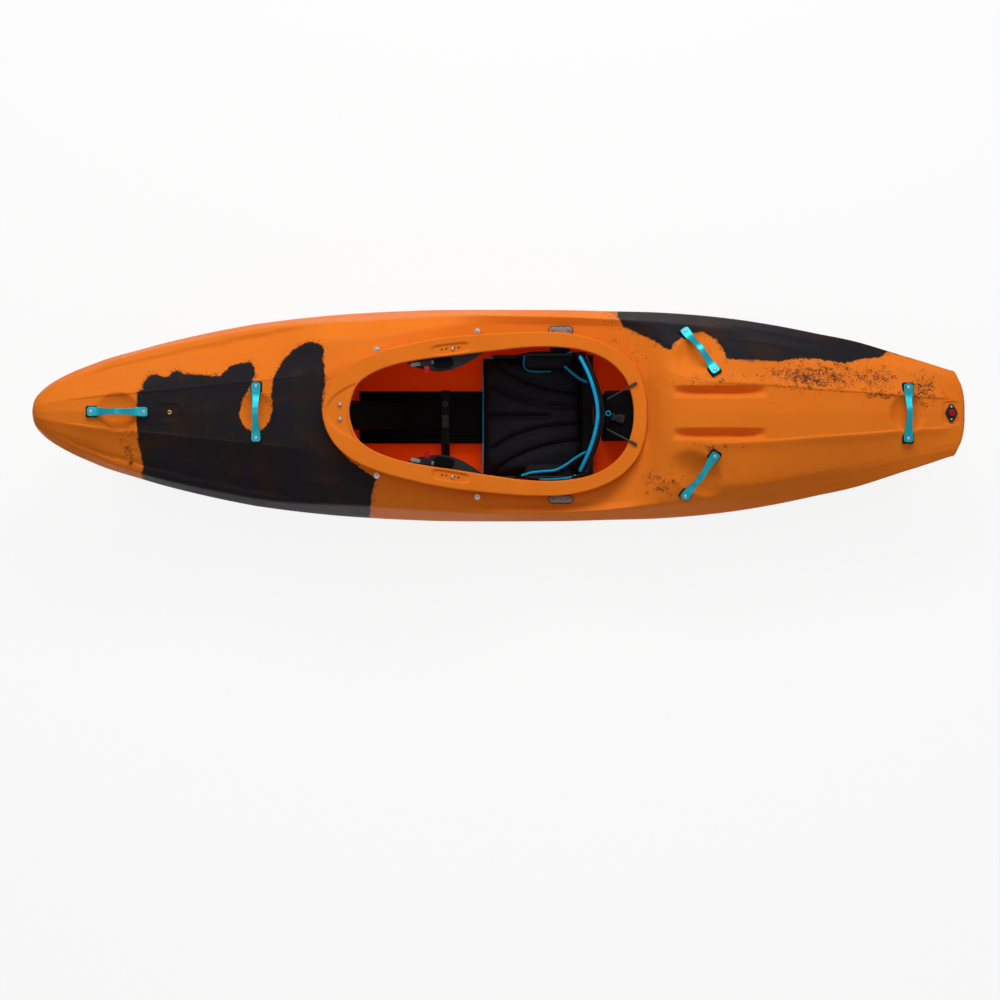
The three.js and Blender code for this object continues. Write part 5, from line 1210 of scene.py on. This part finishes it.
plug = turned_piece("drain_cap", [
    (4, 0), (9.2, 0), (9.6, 0.4), (9.9, 1.2), (9.9, 4.2), (9.6, 5.2), (8.9, 5.8), (7.6, 6), (1, 6),
], 72)
PLUG_RIBS, RIB_DEPTH, RIB_INNER, RIB_LOW, RIB_HIGH = 18, 0.05, 0.0093, 0.0008, 0.0052
COIN_SLOT, COIN_SLOT_HIGH = (0.015, 0.0026, 0.006, 1), 0.006
for vertex in plug.data.vertices:
    if math.hypot(vertex.co.x, vertex.co.y) > RIB_INNER and RIB_LOW < vertex.co.z < RIB_HIGH:
        angle = math.atan2(vertex.co.y, vertex.co.x)
        ribbed = 1 - RIB_DEPTH * (0.5 + 0.5 * math.cos(PLUG_RIBS * angle))
        vertex.co.x *= ribbed
        vertex.co.y *= ribbed
deselect_all()
bpy.ops.mesh.primitive_cube_add(size=1)
slot_tool = bpy.context.active_object
slot_tool.data.transform(Matrix.Diagonal(COIN_SLOT))
slot_tool.data.transform(Matrix.Translation((0, 0, COIN_SLOT_HIGH)))
apply_modifier(plug, "BOOLEAN", object=slot_tool, operation="DIFFERENCE", solver="EXACT")
bpy.data.objects.remove(slot_tool)
settle(plug, Matrix.Translation((DRAIN_X * MM, 0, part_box("drain_plug")[0][2])))
smooth_edges(plug, 35)
finish_piece(plug, red_material, "drain_plug", "red_plastic", "drain_plug")
refined_piece("plug_shank", "drain_shank", red_material, "red_plastic", 0.0006)

# Foam: a low beam along the floor with two pillars that stop the deck from folding in.
# They are black closed cell foam, cut to shape and fixed by friction and the beam's strap.

# Small round cells, which make foam's pores and the grain of an embossed moulding.
nodes, given, result = new_group("cell_grain", ("Vector", "Scale"), ("Cells",))
cells = plain_node(nodes, "TexVoronoi", Vector=given["Vector"], Scale=given["Scale"])
link_value(result, "Cells", cells.outputs["Distance"])


def cellular_material(name, tones, dust, cell_scale, rough, bump, gloss):
    """A matt finish of small cells, with dust or polish in broad patches."""
    material, nodes = new_material(name)
    place = stretched(nodes, (1, 1, 1))
    cells = group_node(nodes, "cell_grain", Vector=place, Scale=cell_scale)["Cells"]
    patches = noise_node(nodes, place, *dust, 0.6)
    roughness = ramp_node(nodes, patches, 0.3, 0.7, *rough)
    surface_node(nodes, mix_node(nodes, patches, *tones), roughness,
                 bump_node(nodes, cells, *bump), Specular_IOR_Level=gloss)
    return material


foam_material = cellular_material("black_foam", ((0.0018, 0.0017, 0.0018), (0.0055, 0.005, 0.0052)),
                                  (18, 5), 620, (0.66, 0.86), (0.3, 0.0006), 0.04)
for node, name, bevel in (
    ("centre_beam", "floor_beam", 0.0018), ("front_pillar", "foam_pillar_front", 0.004),
    ("rear_pillar", "foam_pillar_rear", 0.004),
):
    refined_piece(node, name, foam_material, "black_foam", bevel, 3)

# Beam strap: nylon webbing over the beam with a side release buckle and a plastic eye.
# The weave runs across the boat, as the strap does.

# Threads over and under each other: a height and a mask of the gaps between them.
nodes, given, result = new_group("plain_weave", ("Vector",), ("Height", "Gaps"))
split = plain_node(nodes, "SeparateXYZ", Vector=given["Vector"]).outputs
along_x, along_y = (
    math_node(nodes, "SINE", math_node(nodes, "MULTIPLY", split[k], math.pi)) for k in (0, 1)
)
over = math_node(nodes, "MULTIPLY", along_x, along_y)
warp = math_node(nodes, "MULTIPLY_ADD", over, 0.35, math_node(nodes, "ABSOLUTE", along_x))
weft = math_node(nodes, "MULTIPLY_ADD", over, -0.35, math_node(nodes, "ABSOLUTE", along_y))
height = math_node(nodes, "MAXIMUM", warp, weft)
link_value(result, "Height", height)
link_value(result, "Gaps", ramp_node(nodes, height, 0.55, 0.85, 1, 0))


def woven_material(name, weave, tones, gap_shade_tone, gap_shade_share, fade, rough, bump, gloss, fluff=None):
    """Cloth or webbing: faded threads in relief with gaps painted darker as painted shade, matt
    there or by its fluff.
    """
    material, nodes = new_material(name)
    place = stretched(nodes, (1, 1, 1))
    woven = group_node(nodes, "plain_weave", Vector=stretched(nodes, *weave))
    threads = mix_node(nodes, noise_node(nodes, place, *fade), *tones)
    # Painted shade: the gaps between the threads are darkened.
    gaps = math_node(nodes, "MULTIPLY", woven["Gaps"], gap_shade_share)
    if fluff:
        roughness = ramp_node(nodes, noise_node(nodes, place, *fluff), 0.3, 0.7, *rough)
    else:
        roughness = ramp_node(nodes, woven["Height"], 0, 1.2, *rough)
    surface_node(nodes, mix_node(nodes, gaps, threads, gap_shade_tone), roughness,
                 bump_node(nodes, woven["Height"], *bump), Specular_IOR_Level=gloss)
    return material


webbing_material = woven_material(
    "nylon_webbing", ((900, 420, 420),), ((0.005, 0.005, 0.006), (0.011, 0.011, 0.013)),
    (0.0012, 0.0012, 0.0015), 1, (50, 3), (0.85, 0.55), (0.5, 0.0005), 0.08)
refined_piece("beam_strap", "webbing_strap", webbing_material, "webbing", 0.0006)
refined_piece("strap_buckle", "side_release_buckle", black_material, "black_plastic", 0.0014, 3)
eye_material = fitting_material("blue_grey_plastic", ((0.01, 0.016, 0.045), (0.03, 0.04, 0.08)),
                                200, 1200, (0.45, 0.3), (0.1, 0.0002))


def ring_eye(name, radius, thick, place):
    deselect_all()
    bpy.ops.mesh.primitive_torus_add(major_radius=radius, minor_radius=thick, major_segments=40,
                                     minor_segments=14)
    eye = bpy.context.active_object
    eye.name = name
    settle(eye, place)
    smooth_edges(eye, 180)
    return eye


eye = ring_eye("strap_eye", 0.0062, 0.0018, Matrix.Translation((-0.1755, 0.041, 0.0508)))
finish_piece(eye, eye_material, "hull", "webbing")

# Thigh braces: moulded grips under the rim, each with a ratchet that pulls on a ladder strap.
# The braces and ratchets are black, the levers red and the ladder straps silver grey.
brace_material = cellular_material(
    "brace_moulding", ((0.0065, 0.006, 0.0075), (0.016, 0.0155, 0.018)), (22, 4), 520,
    (0.34, 0.52), (0.22, 0.0004), 0.16)
ladder_material, nodes = new_material("ladder_strap")
tooth_relief_and_shade = plain_node(nodes, "TexWave", Vector=stretched(nodes, (330, 330, 330)), Scale=0.32)
tooth_relief_and_shade.wave_profile = "SAW"
rub = noise_node(nodes, stretched(nodes, (1, 1, 1)), 130, 3)
# The teeth are darker down in their low parts, as painted shade, and the same texture gives their
# bump.
surface_node(nodes, mix_node(nodes, tooth_relief_and_shade.outputs["Fac"], (0.1, 0.1, 0.105), (0.42, 0.42, 0.43)),
             ramp_node(nodes, rub, 0.3, 0.7, 0.3, 0.45),
             bump_node(nodes, tooth_relief_and_shade.outputs["Fac"], 0.8, 0.0012))
for side in ("port", "starboard"):
    for node, name, material, slot, bevel in (
        ("thigh_brace_", "brace_grip_", brace_material, "black_plastic", 0.0022),
        ("ratchet_", "ratchet_body_", black_material, "black_plastic", 0.0006),
        ("ratchet_lever_", "lever_red_", red_material, "red_plastic", 0.0009),
        ("ladder_strap_", "ladder_", ladder_material, "grey_plastic", 0.0005),
    ):
        refined_piece(node + side, name + side, material, slot, bevel, 3)

# Brace pads: thin sheets of black foam behind the grips, seen through their windows, which they
# darken as painted shade.
# They are glued into the back of each moulding. Sizes and places are in the grip's own axes.
FOAM_HALF_LONG, FOAM_HALF_WIDE, FOAM_CROWN, FOAM_THICK = 0.029, 0.0155, 0.0014, 0.004
FOAM_ALONG, FOAM_OUT, FOAM_DOWN = -0.027, -0.037, -0.0165
for side in (-1, 1):
    name = "port" if side < 0 else "starboard"
    grip_frame = frame_matrix((0.93118, side * 0.1455, -0.33426), (side * -0.15438, 0.98801, 0),
                              (0.33025, side * 0.0516, 0.94248), (-145, side * 187, 340.55))
    deselect_all()
    bpy.ops.mesh.primitive_grid_add(x_subdivisions=24, y_subdivisions=14, size=2)
    pad = bpy.context.active_object
    pad.name = "grip_foam_" + name
    for vertex in pad.data.vertices:
        u, v = vertex.co.x, vertex.co.y
        long = u * math.sqrt(1 - v * v / 3.4) * FOAM_HALF_LONG
        wide = v * math.sqrt(1 - u * u / 3.4) * FOAM_HALF_WIDE
        crown = FOAM_CROWN * (1 - u**4) * (1 - v**4)
        vertex.co = Vector((FOAM_ALONG + long, side * (FOAM_OUT + wide), FOAM_DOWN + crown))
    apply_modifier(pad, "SOLIDIFY", thickness=FOAM_THICK, offset=-1)
    settle(pad, grip_frame)
    recalculate(pad)
    smooth_edges(pad, 50)
    finish_piece(pad, foam_material, "brace_" + name, "black_foam")

# Seat hangers: mouldings that are screwed through the deck and carry the seat on both sides.
# Their deck plates are grey on a black gasket, and their brackets below are black.
PLATE_X, PLATE_Y, PLATE_STRAIGHT, PLATE_ROUND, GASKET = 0.175, 0.253, 0.0245, 0.0098, 0.001
BRACKET_TOP = 0.205
hanger_material, nodes = new_material("grey_moulding")
place = stretched(nodes, (1, 1, 1))
wear = group_node(nodes, "handling_wear", Vector=place, Rub_Scale=150, Grain_Scale=1000)
axes = plain_node(nodes, "SeparateXYZ", Vector=place).outputs
along_plate = math_node(nodes, "ABSOLUTE", math_node(nodes, "SUBTRACT", axes["X"], PLATE_X))
past_straight = math_node(nodes, "SUBTRACT", along_plate, PLATE_STRAIGHT)
past_straight = math_node(nodes, "MAXIMUM", past_straight, 0.0)
across_plate = math_node(nodes, "ABSOLUTE", axes["Y"])
across_plate = math_node(nodes, "SUBTRACT", across_plate, PLATE_Y)
squared = math_node(nodes, "MULTIPLY", across_plate, across_plate)
squared = math_node(nodes, "MULTIPLY_ADD", past_straight, past_straight, squared)
from_middle = math_node(nodes, "SQRT", squared)
black_edge = ramp_node(nodes, from_middle, PLATE_ROUND, PLATE_ROUND + GASKET)
bracket = ramp_node(nodes, axes["Z"], BRACKET_TOP, BRACKET_TOP + 0.003, 1, 0)
black_part = math_node(nodes, "MAXIMUM", black_edge, bracket)
grey = mix_node(nodes, wear["Rubbed"], (0.2, 0.15, 0.125), (0.33, 0.26, 0.225))
surface_node(nodes, mix_node(nodes, black_part, grey, (0.004, 0.004, 0.004)),
             ramp_node(nodes, wear["Rubbed"], 0, 1, 0.55, 0.4),
             bump_node(nodes, wear["Grain"], 0.15, 0.0002),
             ramp_node(nodes, black_part, 0, 1, 0.15, 0), Specular_IOR_Level=0.1)
for side in ("port", "starboard"):
    refined_piece("seat_hanger_" + side, "hanger_" + side, hanger_material, "grey_plastic",
                  0.0012, 3)
    # The footrest's rails are screwed to the hull's sides too.
    refined_piece("foot_rail_" + side, "rail_" + side, black_material, "black_plastic", 0.0015)

# Footrest: a moulded plate that slides on the two rails.
refined_piece("footrest", "foot_plate", black_material, "black_plastic", 0.003, 3)

# Seat and backband: the seat's moulding and the stiff plate inside the band.
refined_piece("seat_pan", "seat_moulding", black_material, "black_plastic", 0.0015)
refined_piece("backband_plate", "backband_stiffener", brace_material, "black_plastic", 0.001)

# Seat cushion, hip pads and backband: foam in black polyester, sewn with bright blue piping.
# Each is swollen from its CAD shape as cloth. The seat cushion's sewn lines are then drawn in.
fabric_material = woven_material(
    "black_polyester", ((1300, 1300, 1300), (0.3, 0.2, 0.785)),
    ((0.0028, 0.0024, 0.0038), (0.006, 0.005, 0.008)), (0.001, 0.001, 0.0015), 0.6,
    (13, 4, 0.6), (0.5, 0.7), (0.35, 0.0004), 0.09, fluff=(380, 4, 0.65))
blue_material = woven_material(
    "blue_piping", ((1100, 1100, 1100), (0.5, 0.4, 0.6)), ((0.0, 0.3, 0.58), (0.002, 0.44, 0.76)),
    (0.0, 0.14, 0.28), 0.3, (30, 3), (0.75, 0.5), (0.4, 0.0003), 0.15)


SWELL_PRESSURE, SWELL_FRAMES = 4, 20


def swell(piece, voxel, cap):
    """Swells a closed shape as cloth under pressure, moving no point further than cap."""
    apply_modifier(piece, "REMESH", mode="VOXEL", voxel_size=voxel)
    start = points_of(piece)
    cloth = piece.modifiers.new("cloth", "CLOTH")
    cloth.settings.use_pressure = True
    cloth.settings.uniform_pressure_force = SWELL_PRESSURE
    cloth.settings.effector_weights.gravity = 0
    cloth.point_cache.frame_start, cloth.point_cache.frame_end = 1, SWELL_FRAMES
    for step in range(1, SWELL_FRAMES + 1):
        scene.frame_set(step)
    move = points_of(piece.evaluated_get(bpy.context.evaluated_depsgraph_get())) - start
    piece.modifiers.remove(cloth)
    scene.frame_set(1)
    long = np.maximum(np.linalg.norm(move, axis=1, keepdims=True), 1e-9)
    move_points(piece, start + move / long * (cap * np.tanh(long / cap)))


def middle_and_half(points):
    low, high = points.min(axis=0), points.max(axis=0)
    return (high + low) / 2, (high - low) / 2


def soft_copy(node, name, shrink):
    """A merged copy of a soft CAD solid, drawn in towards its middle by shrink."""
    piece = refined(node, name, 0)
    points = points_of(piece)
    middle, half = middle_and_half(points)
    move_points(piece, middle + (points - middle) * (1 - shrink / half))
    return piece


def finish_cushion(piece, body, node):
    piece.data.polygons.foreach_set("use_smooth", [True] * len(piece.data.polygons))
    finish_piece(piece, fabric_material, body, "seat_fabric", node)


def distance_to_line(points, line):
    """Distance in the plane from points to a line of straights, both two numbers wide."""
    nearest = np.full(len(points), 1e9)
    for a, b in zip(line[:-1], line[1:]):
        step = b - a
        t = np.clip(((points - a) @ step) / (step @ step), 0, 1)
        nearest = np.minimum(nearest, np.linalg.norm(points - a - t[:, None] * step, axis=1))
    return nearest


def smooth_line(points, steps=10):
    """More points along a smooth curve through the given ones."""
    p = np.array(points, dtype=float)
    p = np.concatenate([2 * p[:1] - p[1:2], p, 2 * p[-1:] - p[-2:-1]])
    out = []
    for i in range(1, len(p) - 2):
        for t in np.linspace(0, 1, steps, endpoint=False):
            a, b, c, d = p[i - 1 : i + 3]
            out.append(0.5 * (2 * b + (c - a) * t + (2 * a - 5 * b + 4 * c - d) * t * t
                              + (3 * b - a - 3 * c + d) * t**3))
    out.append(p[-2])
    return np.array(out)


def cord_mesh(name, path, radius, sides=12):
    """A round cord along a path in metres; radius is one number or one for each point."""
    path = [Vector(p) for p in path]
    n = len(path)
    radii = [radius] * n if isinstance(radius, float) else radius
    verts = []
    normal = None
    for i, p in enumerate(path):
        tangent = (path[min(i + 1, n - 1)] - path[max(i - 1, 0)]).normalized()
        if normal is None:
            normal = tangent.orthogonal().normalized()
        normal = (normal - tangent * normal.dot(tangent)).normalized()
        across = tangent.cross(normal)
        for k in range(sides):
            a = 2 * math.pi * k / sides
            verts.append((p + (normal * math.cos(a) + across * math.sin(a)) * radii[i]) / MM)
    cord = mesh_object(name, verts, tube_faces(n, sides), merge=0.001)
    recalculate(cord)
    return cord


def girdle(piece, count):
    """The outermost points of a pad round its middle, as seen from above."""
    points = points_of(piece)
    middle, half = middle_and_half(points)
    share = (points - middle) / half
    angle = np.arctan2(share[:, 1], share[:, 0])
    path = []
    for a in np.linspace(-math.pi, math.pi, count, endpoint=False):
        near = np.abs((angle - a + math.pi) % (2 * math.pi) - math.pi) < 1.7 * math.pi / count
        mine = points[near]
        far = np.hypot(*(mine - middle)[:, :2].T)
        path.append(mine[np.argsort(far)[-3:]].mean(axis=0))
    path = np.array(path)
    for _ in range(4):
        path = (np.roll(path, 1, axis=0) + 2 * path + np.roll(path, -1, axis=0)) / 4
    return path


def fill_out(piece, node, gap, squarer):
    """Draws a swollen pad out in plan to its solid's sides again, its corners a little squarer."""
    points = points_of(piece)
    low, high = (np.array(corner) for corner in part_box(node))
    middle, half = middle_and_half(points)
    share = (points - middle) / half
    u, v = np.abs(share[:, 0]), np.abs(share[:, 1])
    corner = np.minimum(u, v) ** 3 * np.maximum(u, v)
    share[:, :2] *= (1 + squarer * corner)[:, None]
    share[:, :2] = np.clip(share[:, :2], -1, 1)
    points[:, :2] = ((low + high) / 2 + share * ((high - low) / 2 - gap))[:, :2]
    move_points(piece, points)


def pipe(name, path, radius, body="seat"):
    """Sews a blue piping along a path."""
    finish_piece(cord_mesh(name, path, radius), blue_material, body, "seat_fabric")


cushion = soft_copy("seat_pad", "seat_cushion", 0.002)
swell(cushion, 0.005, 0.006)
fill_out(cushion, "seat_pad", -0.002, 0.1)
apply_modifier(cushion, "SUBSURF", levels=1, render_levels=1)
# Sewn lines of the cushion's starboard half, as shares of its half length and half width.
SEAT_MIDDLE, SEAT_HALF_LONG, SEAT_HALF_WIDE = 0.094, 0.15, 0.177
sewn_lines = [
    [(-0.9, 0), (-0.3, 0), (0.3, 0)],
    [(1, 0.14), (0.32, 0.19), (-0.04, 0.25), (-0.44, 0.37), (-0.8, 0.55)],
    [(0.98, 0.41), (0.36, 0.49), (-0.12, 0.62), (-0.5, 0.78), (-0.74, 0.93)],
]
CHANNEL_DEEP, CHANNEL_WIDE, RIPPLE = 0.0042, 0.0085, 0.0011
STITCH_DEEP, STITCH_WIDE = 0.0022, 0.0018
points = points_of(cushion)
normals = np.empty(points.size)
cushion.data.vertices.foreach_get("normal", normals)
upward = np.clip(normals[2::3] * 2.5, 0, 1)
sunk = np.zeros(len(points))
for shares in sewn_lines:
    for side in (-1, 1):
        line = [(SEAT_MIDDLE + u * SEAT_HALF_LONG, side * v * SEAT_HALF_WIDE) for u, v in shares]
        away = distance_to_line(points[:, :2], smooth_line(line))
        channel = CHANNEL_DEEP * np.exp(-((away / CHANNEL_WIDE) ** 2))
        stitch = STITCH_DEEP * np.exp(-((away / STITCH_WIDE) ** 2))
        sunk = np.maximum(sunk, channel + stitch)
ripple = np.array([noise.noise(Vector((p[0] * 22, p[1] * 34, 3.1))) for p in points]) * RIPPLE
points[:, 2] += upward * (ripple - sunk)
points[:, 2] = np.maximum(points[:, 2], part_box("seat_pad")[0][2])
move_points(cushion, points)
finish_cushion(cushion, "seat", "seat_pad")
FRONT_EDGE_LONG, PIPING_ABOVE = 0.03, 0.0015
front_edge = girdle(cushion, 240)
front_edge = front_edge[front_edge[:, 0] < SEAT_MIDDLE - SEAT_HALF_LONG + FRONT_EDGE_LONG]
front_edge = front_edge[np.argsort(front_edge[:, 1])]
front_edge[:, 2] += PIPING_ABOVE
pipe("seat_piping", front_edge, 0.0028)

# Hip pads are drawn inwards before they swell, then stretched and filled out to the hull's side.
HIP_MIDDLE, HIP_HALF_LONG, HIP_INWARDS, HIP_OUTWARDS = 0.141, 0.078, 0.007, 0.013
HIP_INNER_Y, HIP_OUTER_Y, HIP_LOW_Z, HIP_Y_FADE, HIP_Z_FADE = 0.172, 0.160, 0.1, 0.02, 0.03
# Their pipings, in millimetres with Y outwards, and how thick each is.
hip_pipings = {
    "port": [("hip_piping_port", 0.0036, [
        (112, 191, 148), (140, 192.5, 149), (178, 191, 150), (205, 187, 150), (224, 181, 150),
    ])],
    "starboard": [("hip_piping_starboard", 0.0026, [
        (68, 184, 146), (66, 170, 140), (66, 153, 124), (73, 143.5, 104), (88, 138.5, 95),
        (110, 137.5, 91), (150, 138, 90),
    ]), ("hip_top_piping", 0.0034, [
        (168, 197, 147), (186, 196, 149), (206, 192, 150), (228, 184, 150),
    ])],
}
for side, pipings in hip_pipings.items():
    out = -1 if side == "port" else 1
    hip = soft_copy("hip_pad_" + side, "hip_cushion_" + side, 0.0015)
    points = points_of(hip)
    inner = smooth((HIP_INNER_Y - out * points[:, 1]) / HIP_Y_FADE)
    points[:, 1] -= out * HIP_INWARDS * inner
    move_points(hip, points)
    swell(hip, 0.004, 0.004)
    points = points_of(hip)
    half = np.ptp(points[:, 0]) / 2
    points[:, 0] = HIP_MIDDLE + (points[:, 0] - points[:, 0].mean()) * HIP_HALF_LONG / half
    outer = smooth((out * points[:, 1] - HIP_OUTER_Y) / HIP_Y_FADE)
    high_up = smooth((points[:, 2] - HIP_LOW_Z) / HIP_Z_FADE)
    points[:, 1] += out * HIP_OUTWARDS * (outer * high_up)
    move_points(hip, points)
    apply_modifier(hip, "SUBSURF", levels=1, render_levels=1)
    finish_cushion(hip, "seat", "hip_pad_" + side)
    for name, radius, line in pipings:
        pipe(name, smooth_line([(x * MM, out * y * MM, z * MM) for x, y, z in line], 8), radius)

back = soft_copy("backband_pad", "backband_cushion", 0.0015)
swell(back, 0.005, 0.004)
apply_modifier(back, "SUBSURF", levels=1, render_levels=1)
finish_cushion(back, "backband", "backband_pad")
# The band curves forward and down towards its ends, and so does the piping on its top edge.
BAND_HALF_WIDE, BAND_BACK, BAND_CURVE, BAND_FOOT, BAND_HIGH = 0.172, 0.281, 0.053, 0.166, 0.140
top_edge = []
for y in np.linspace(-0.168, 0.168, 70):
    u = y / BAND_HALF_WIDE
    x = BAND_BACK - BAND_CURVE * abs(u) ** 1.7
    top_edge.append((x - 0.0005, y, BAND_FOOT + BAND_HIGH * (1 - 0.3 * u**4) - 0.0015))
pipe("backband_piping", top_edge, 0.0054, "backband")

# Side wings of the seat cover: padded straps over the hip pads and round to the backband.
# A thick blue piping runs along the top of each.
wing_plans = {
    "port": [
        (58, 184), (86, 175), (120, 171), (160, 167), (192, 151), (222, 130), (252, 113),
        (284, 107),
    ],
    "starboard": [(188, 152), (206, 136), (232, 115), (258, 104), (284, 101)],
}
WING_FOOT, WING_TOP, WING_DROP, WING_RISE, WING_HALF_THICK = 149, 154, 50, 3, 6.5
HIP_PAD_END, PAST_HIP_PAD = 214, 16
for name, plan in wing_plans.items():
    side = -1 if name == "port" else 1
    plan = smooth_line(plan, 8)
    rings, top_line = [], []
    for i, (x, y) in enumerate(plan):
        share = i / (len(plan) - 1)
        behind_pad = float(smooth((x - HIP_PAD_END) / PAST_HIP_PAD))
        low, high = WING_FOOT - WING_DROP * behind_pad, WING_TOP + WING_RISE * behind_pad
        half = WING_HALF_THICK * (1 - 0.5 * share**3)
        mid = (low + high) / 2
        ring = [(-half, low + 1.5), (-half * 0.6, low), (half * 0.6, low), (half, low + 1.5)]
        ring += [(half * 1.15, mid), (half, high - 1.5), (half * 0.6, high), (-half * 0.6, high)]
        ring += [(-half, high - 1.5), (-half * 1.15, mid)]
        rings.append([(x, side * (y + w), z) for w, z in ring])
        top_line.append((x * MM, side * (y - 2) * MM, (high + 1.2) * MM))
    wing_points = [p for ring in rings for p in ring]
    wing_faces = tube_faces(len(rings), len(rings[0]))
    wing = mesh_object("seat_wing_" + name, wing_points, wing_faces, 0.001)
    recalculate(wing)
    finish_piece(wing, fabric_material, "seat", "seat_fabric")
    pipe("wing_piping_" + name, top_line, 0.0042)

# Elastic cords: two braided cords that hold the backband's tail, from the rear pillar to the rim.
# Each ends in a heat shrunk sleeve under the rim.
elastic_material, nodes = new_material("braided_elastic")
braid_relief_and_shade = plain_node(nodes, "TexWave", Vector=stretched(nodes, (1, 1, 1), (0, 0, 0.785)), Scale=120,
                   Distortion=1.5).outputs["Fac"]
# The braid is darker down in its grooves, as painted shade, and the same texture gives its bump.
surface_node(nodes, mix_node(nodes, braid_relief_and_shade, (0.006, 0.006, 0.0065), (0.03, 0.029, 0.03)),
             ramp_node(nodes, braid_relief_and_shade, 0, 1, 0.8, 0.6), bump_node(nodes, braid_relief_and_shade, 0.5, 0.0005))
CORD_RADIUS, SLEEVE_RADIUS, SLEEVE_TIP, SLEEVE_LONG = 0.0024, 0.0042, 0.0036, 0.024
for side, name in ((-1, "port"), (1, "starboard")):
    foot = Vector((0.3122, side * 0.04464, 0.2388))
    end = Vector((0.398, side * 0.092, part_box("bungee_cord_" + name)[1][2] - SLEEVE_RADIUS))
    sleeve_from = end - (end - foot).normalized() * SLEEVE_LONG
    sleeve_from.z = end.z - 0.0006
    path = [foot.lerp(sleeve_from, share) for share in (0, 0.3, 0.7, 1)]
    path += [sleeve_from.lerp(end, share) for share in (0.04, 0.12, 0.9, 1)]
    radii = [CORD_RADIUS] * 4 + [0.0034, SLEEVE_RADIUS, SLEEVE_RADIUS, SLEEVE_TIP]
    cord = cord_mesh("elastic_" + name, path, radii, sides=16)
    smooth_edges(cord, 50)
    finish_piece(cord, elastic_material, "hull", "elastic_cord", "bungee_cord_" + name)

# Tail strap of the backband: a side release buckle and a blue eye on the rear pillar's slope.
# They draw the band tight against the elastic cords.
pillar = bpy.data.objects["foam_pillar_rear"]


def height_on(obj, x, y):
    """The height of a piece's top at a plan point."""
    return obj.ray_cast(Vector((x, y, 2)), Vector((0, 0, -1)))[1].z


tail_x, tail_y, half_reach = 0.345, -0.011, 0.014
front_z = height_on(pillar, tail_x - half_reach, tail_y)
back_z = height_on(pillar, tail_x + half_reach, tail_y)
slope = math.atan2(back_z - front_z, 2 * half_reach)
tail_buckle = refined("strap_buckle", "tail_buckle", 0.0014, 3)
low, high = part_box("strap_buckle")
centre = (Vector(low) + Vector(high)) / 2
ABOVE_SLOPE, TAIL_HEADING = 0.0062, 78
tail_turn = Matrix.Translation((tail_x, tail_y, (front_z + back_z) / 2 + ABOVE_SLOPE))
tail_turn = tail_turn @ Matrix.Rotation(-slope, 4, "Y")
tail_turn = tail_turn @ Matrix.Rotation(math.radians(TAIL_HEADING), 4, "Z")
settle(tail_buckle, tail_turn @ Matrix.Translation(-centre))
finish_piece(tail_buckle, black_material, "hull", "black_plastic")
eye_x, eye_y = 0.3165, 0.0035
eye_turn = Matrix.Translation((eye_x, eye_y, height_on(pillar, eye_x, eye_y) + 0.0035))
eye_turn = eye_turn @ Matrix.Rotation(-slope, 4, "Y")
tail_eye = ring_eye("tail_eye", 0.0068, 0.0022, eye_turn)
finish_piece(tail_eye, blue_material, "hull", "webbing")

# Brace adjustment: two spare holes on either side of each brace screw, bored through the rim.
# The screw can be moved along them to shift the brace. Their walls are painted charcoal by a tone
# of 60, as painted shade in the holes of the orange rim.
BORES_X, BORES_Y, BORE_STEPS = -0.1512, 0.1862, (-24, -12, 12, 24)
BORE_RADIUS, BORE_DEEP, BORE_SUNK, BORE_SHADE_TONE = 0.0031, 0.012, 0.004, 60
bores = bmesh.new()
for side in (-1, 1):
    for step in BORE_STEPS:
        x = BORES_X + step * MM * math.cos(side * BRACE_HEADING)
        y = side * BORES_Y + step * MM * math.sin(side * BRACE_HEADING)
        top = float(rim_top(np.array([x / MM]))[0]) * MM
        place = Matrix.Translation((x, y, top - BORE_SUNK))
        bmesh.ops.create_cone(bores, cap_ends=True, segments=20, radius1=BORE_RADIUS,
                              radius2=BORE_RADIUS, depth=BORE_DEEP, matrix=place)
bore_mesh = bpy.data.meshes.new("bores")
bores.to_mesh(bore_mesh)
bores.free()
# Painted shade: the bores' walls take the charcoal tone.
bore_shade_tones = bore_mesh.attributes.new("tone", "FLOAT", "POINT")
bore_shade_tones.data.foreach_set("value", [BORE_SHADE_TONE] * len(bore_mesh.vertices))
bore_tool = bpy.data.objects.new("bores", bore_mesh)
scene.collection.objects.link(bore_tool)
apply_modifier(rim, "BOOLEAN", object=bore_tool, operation="DIFFERENCE", solver="EXACT")
bpy.data.objects.remove(bore_tool)
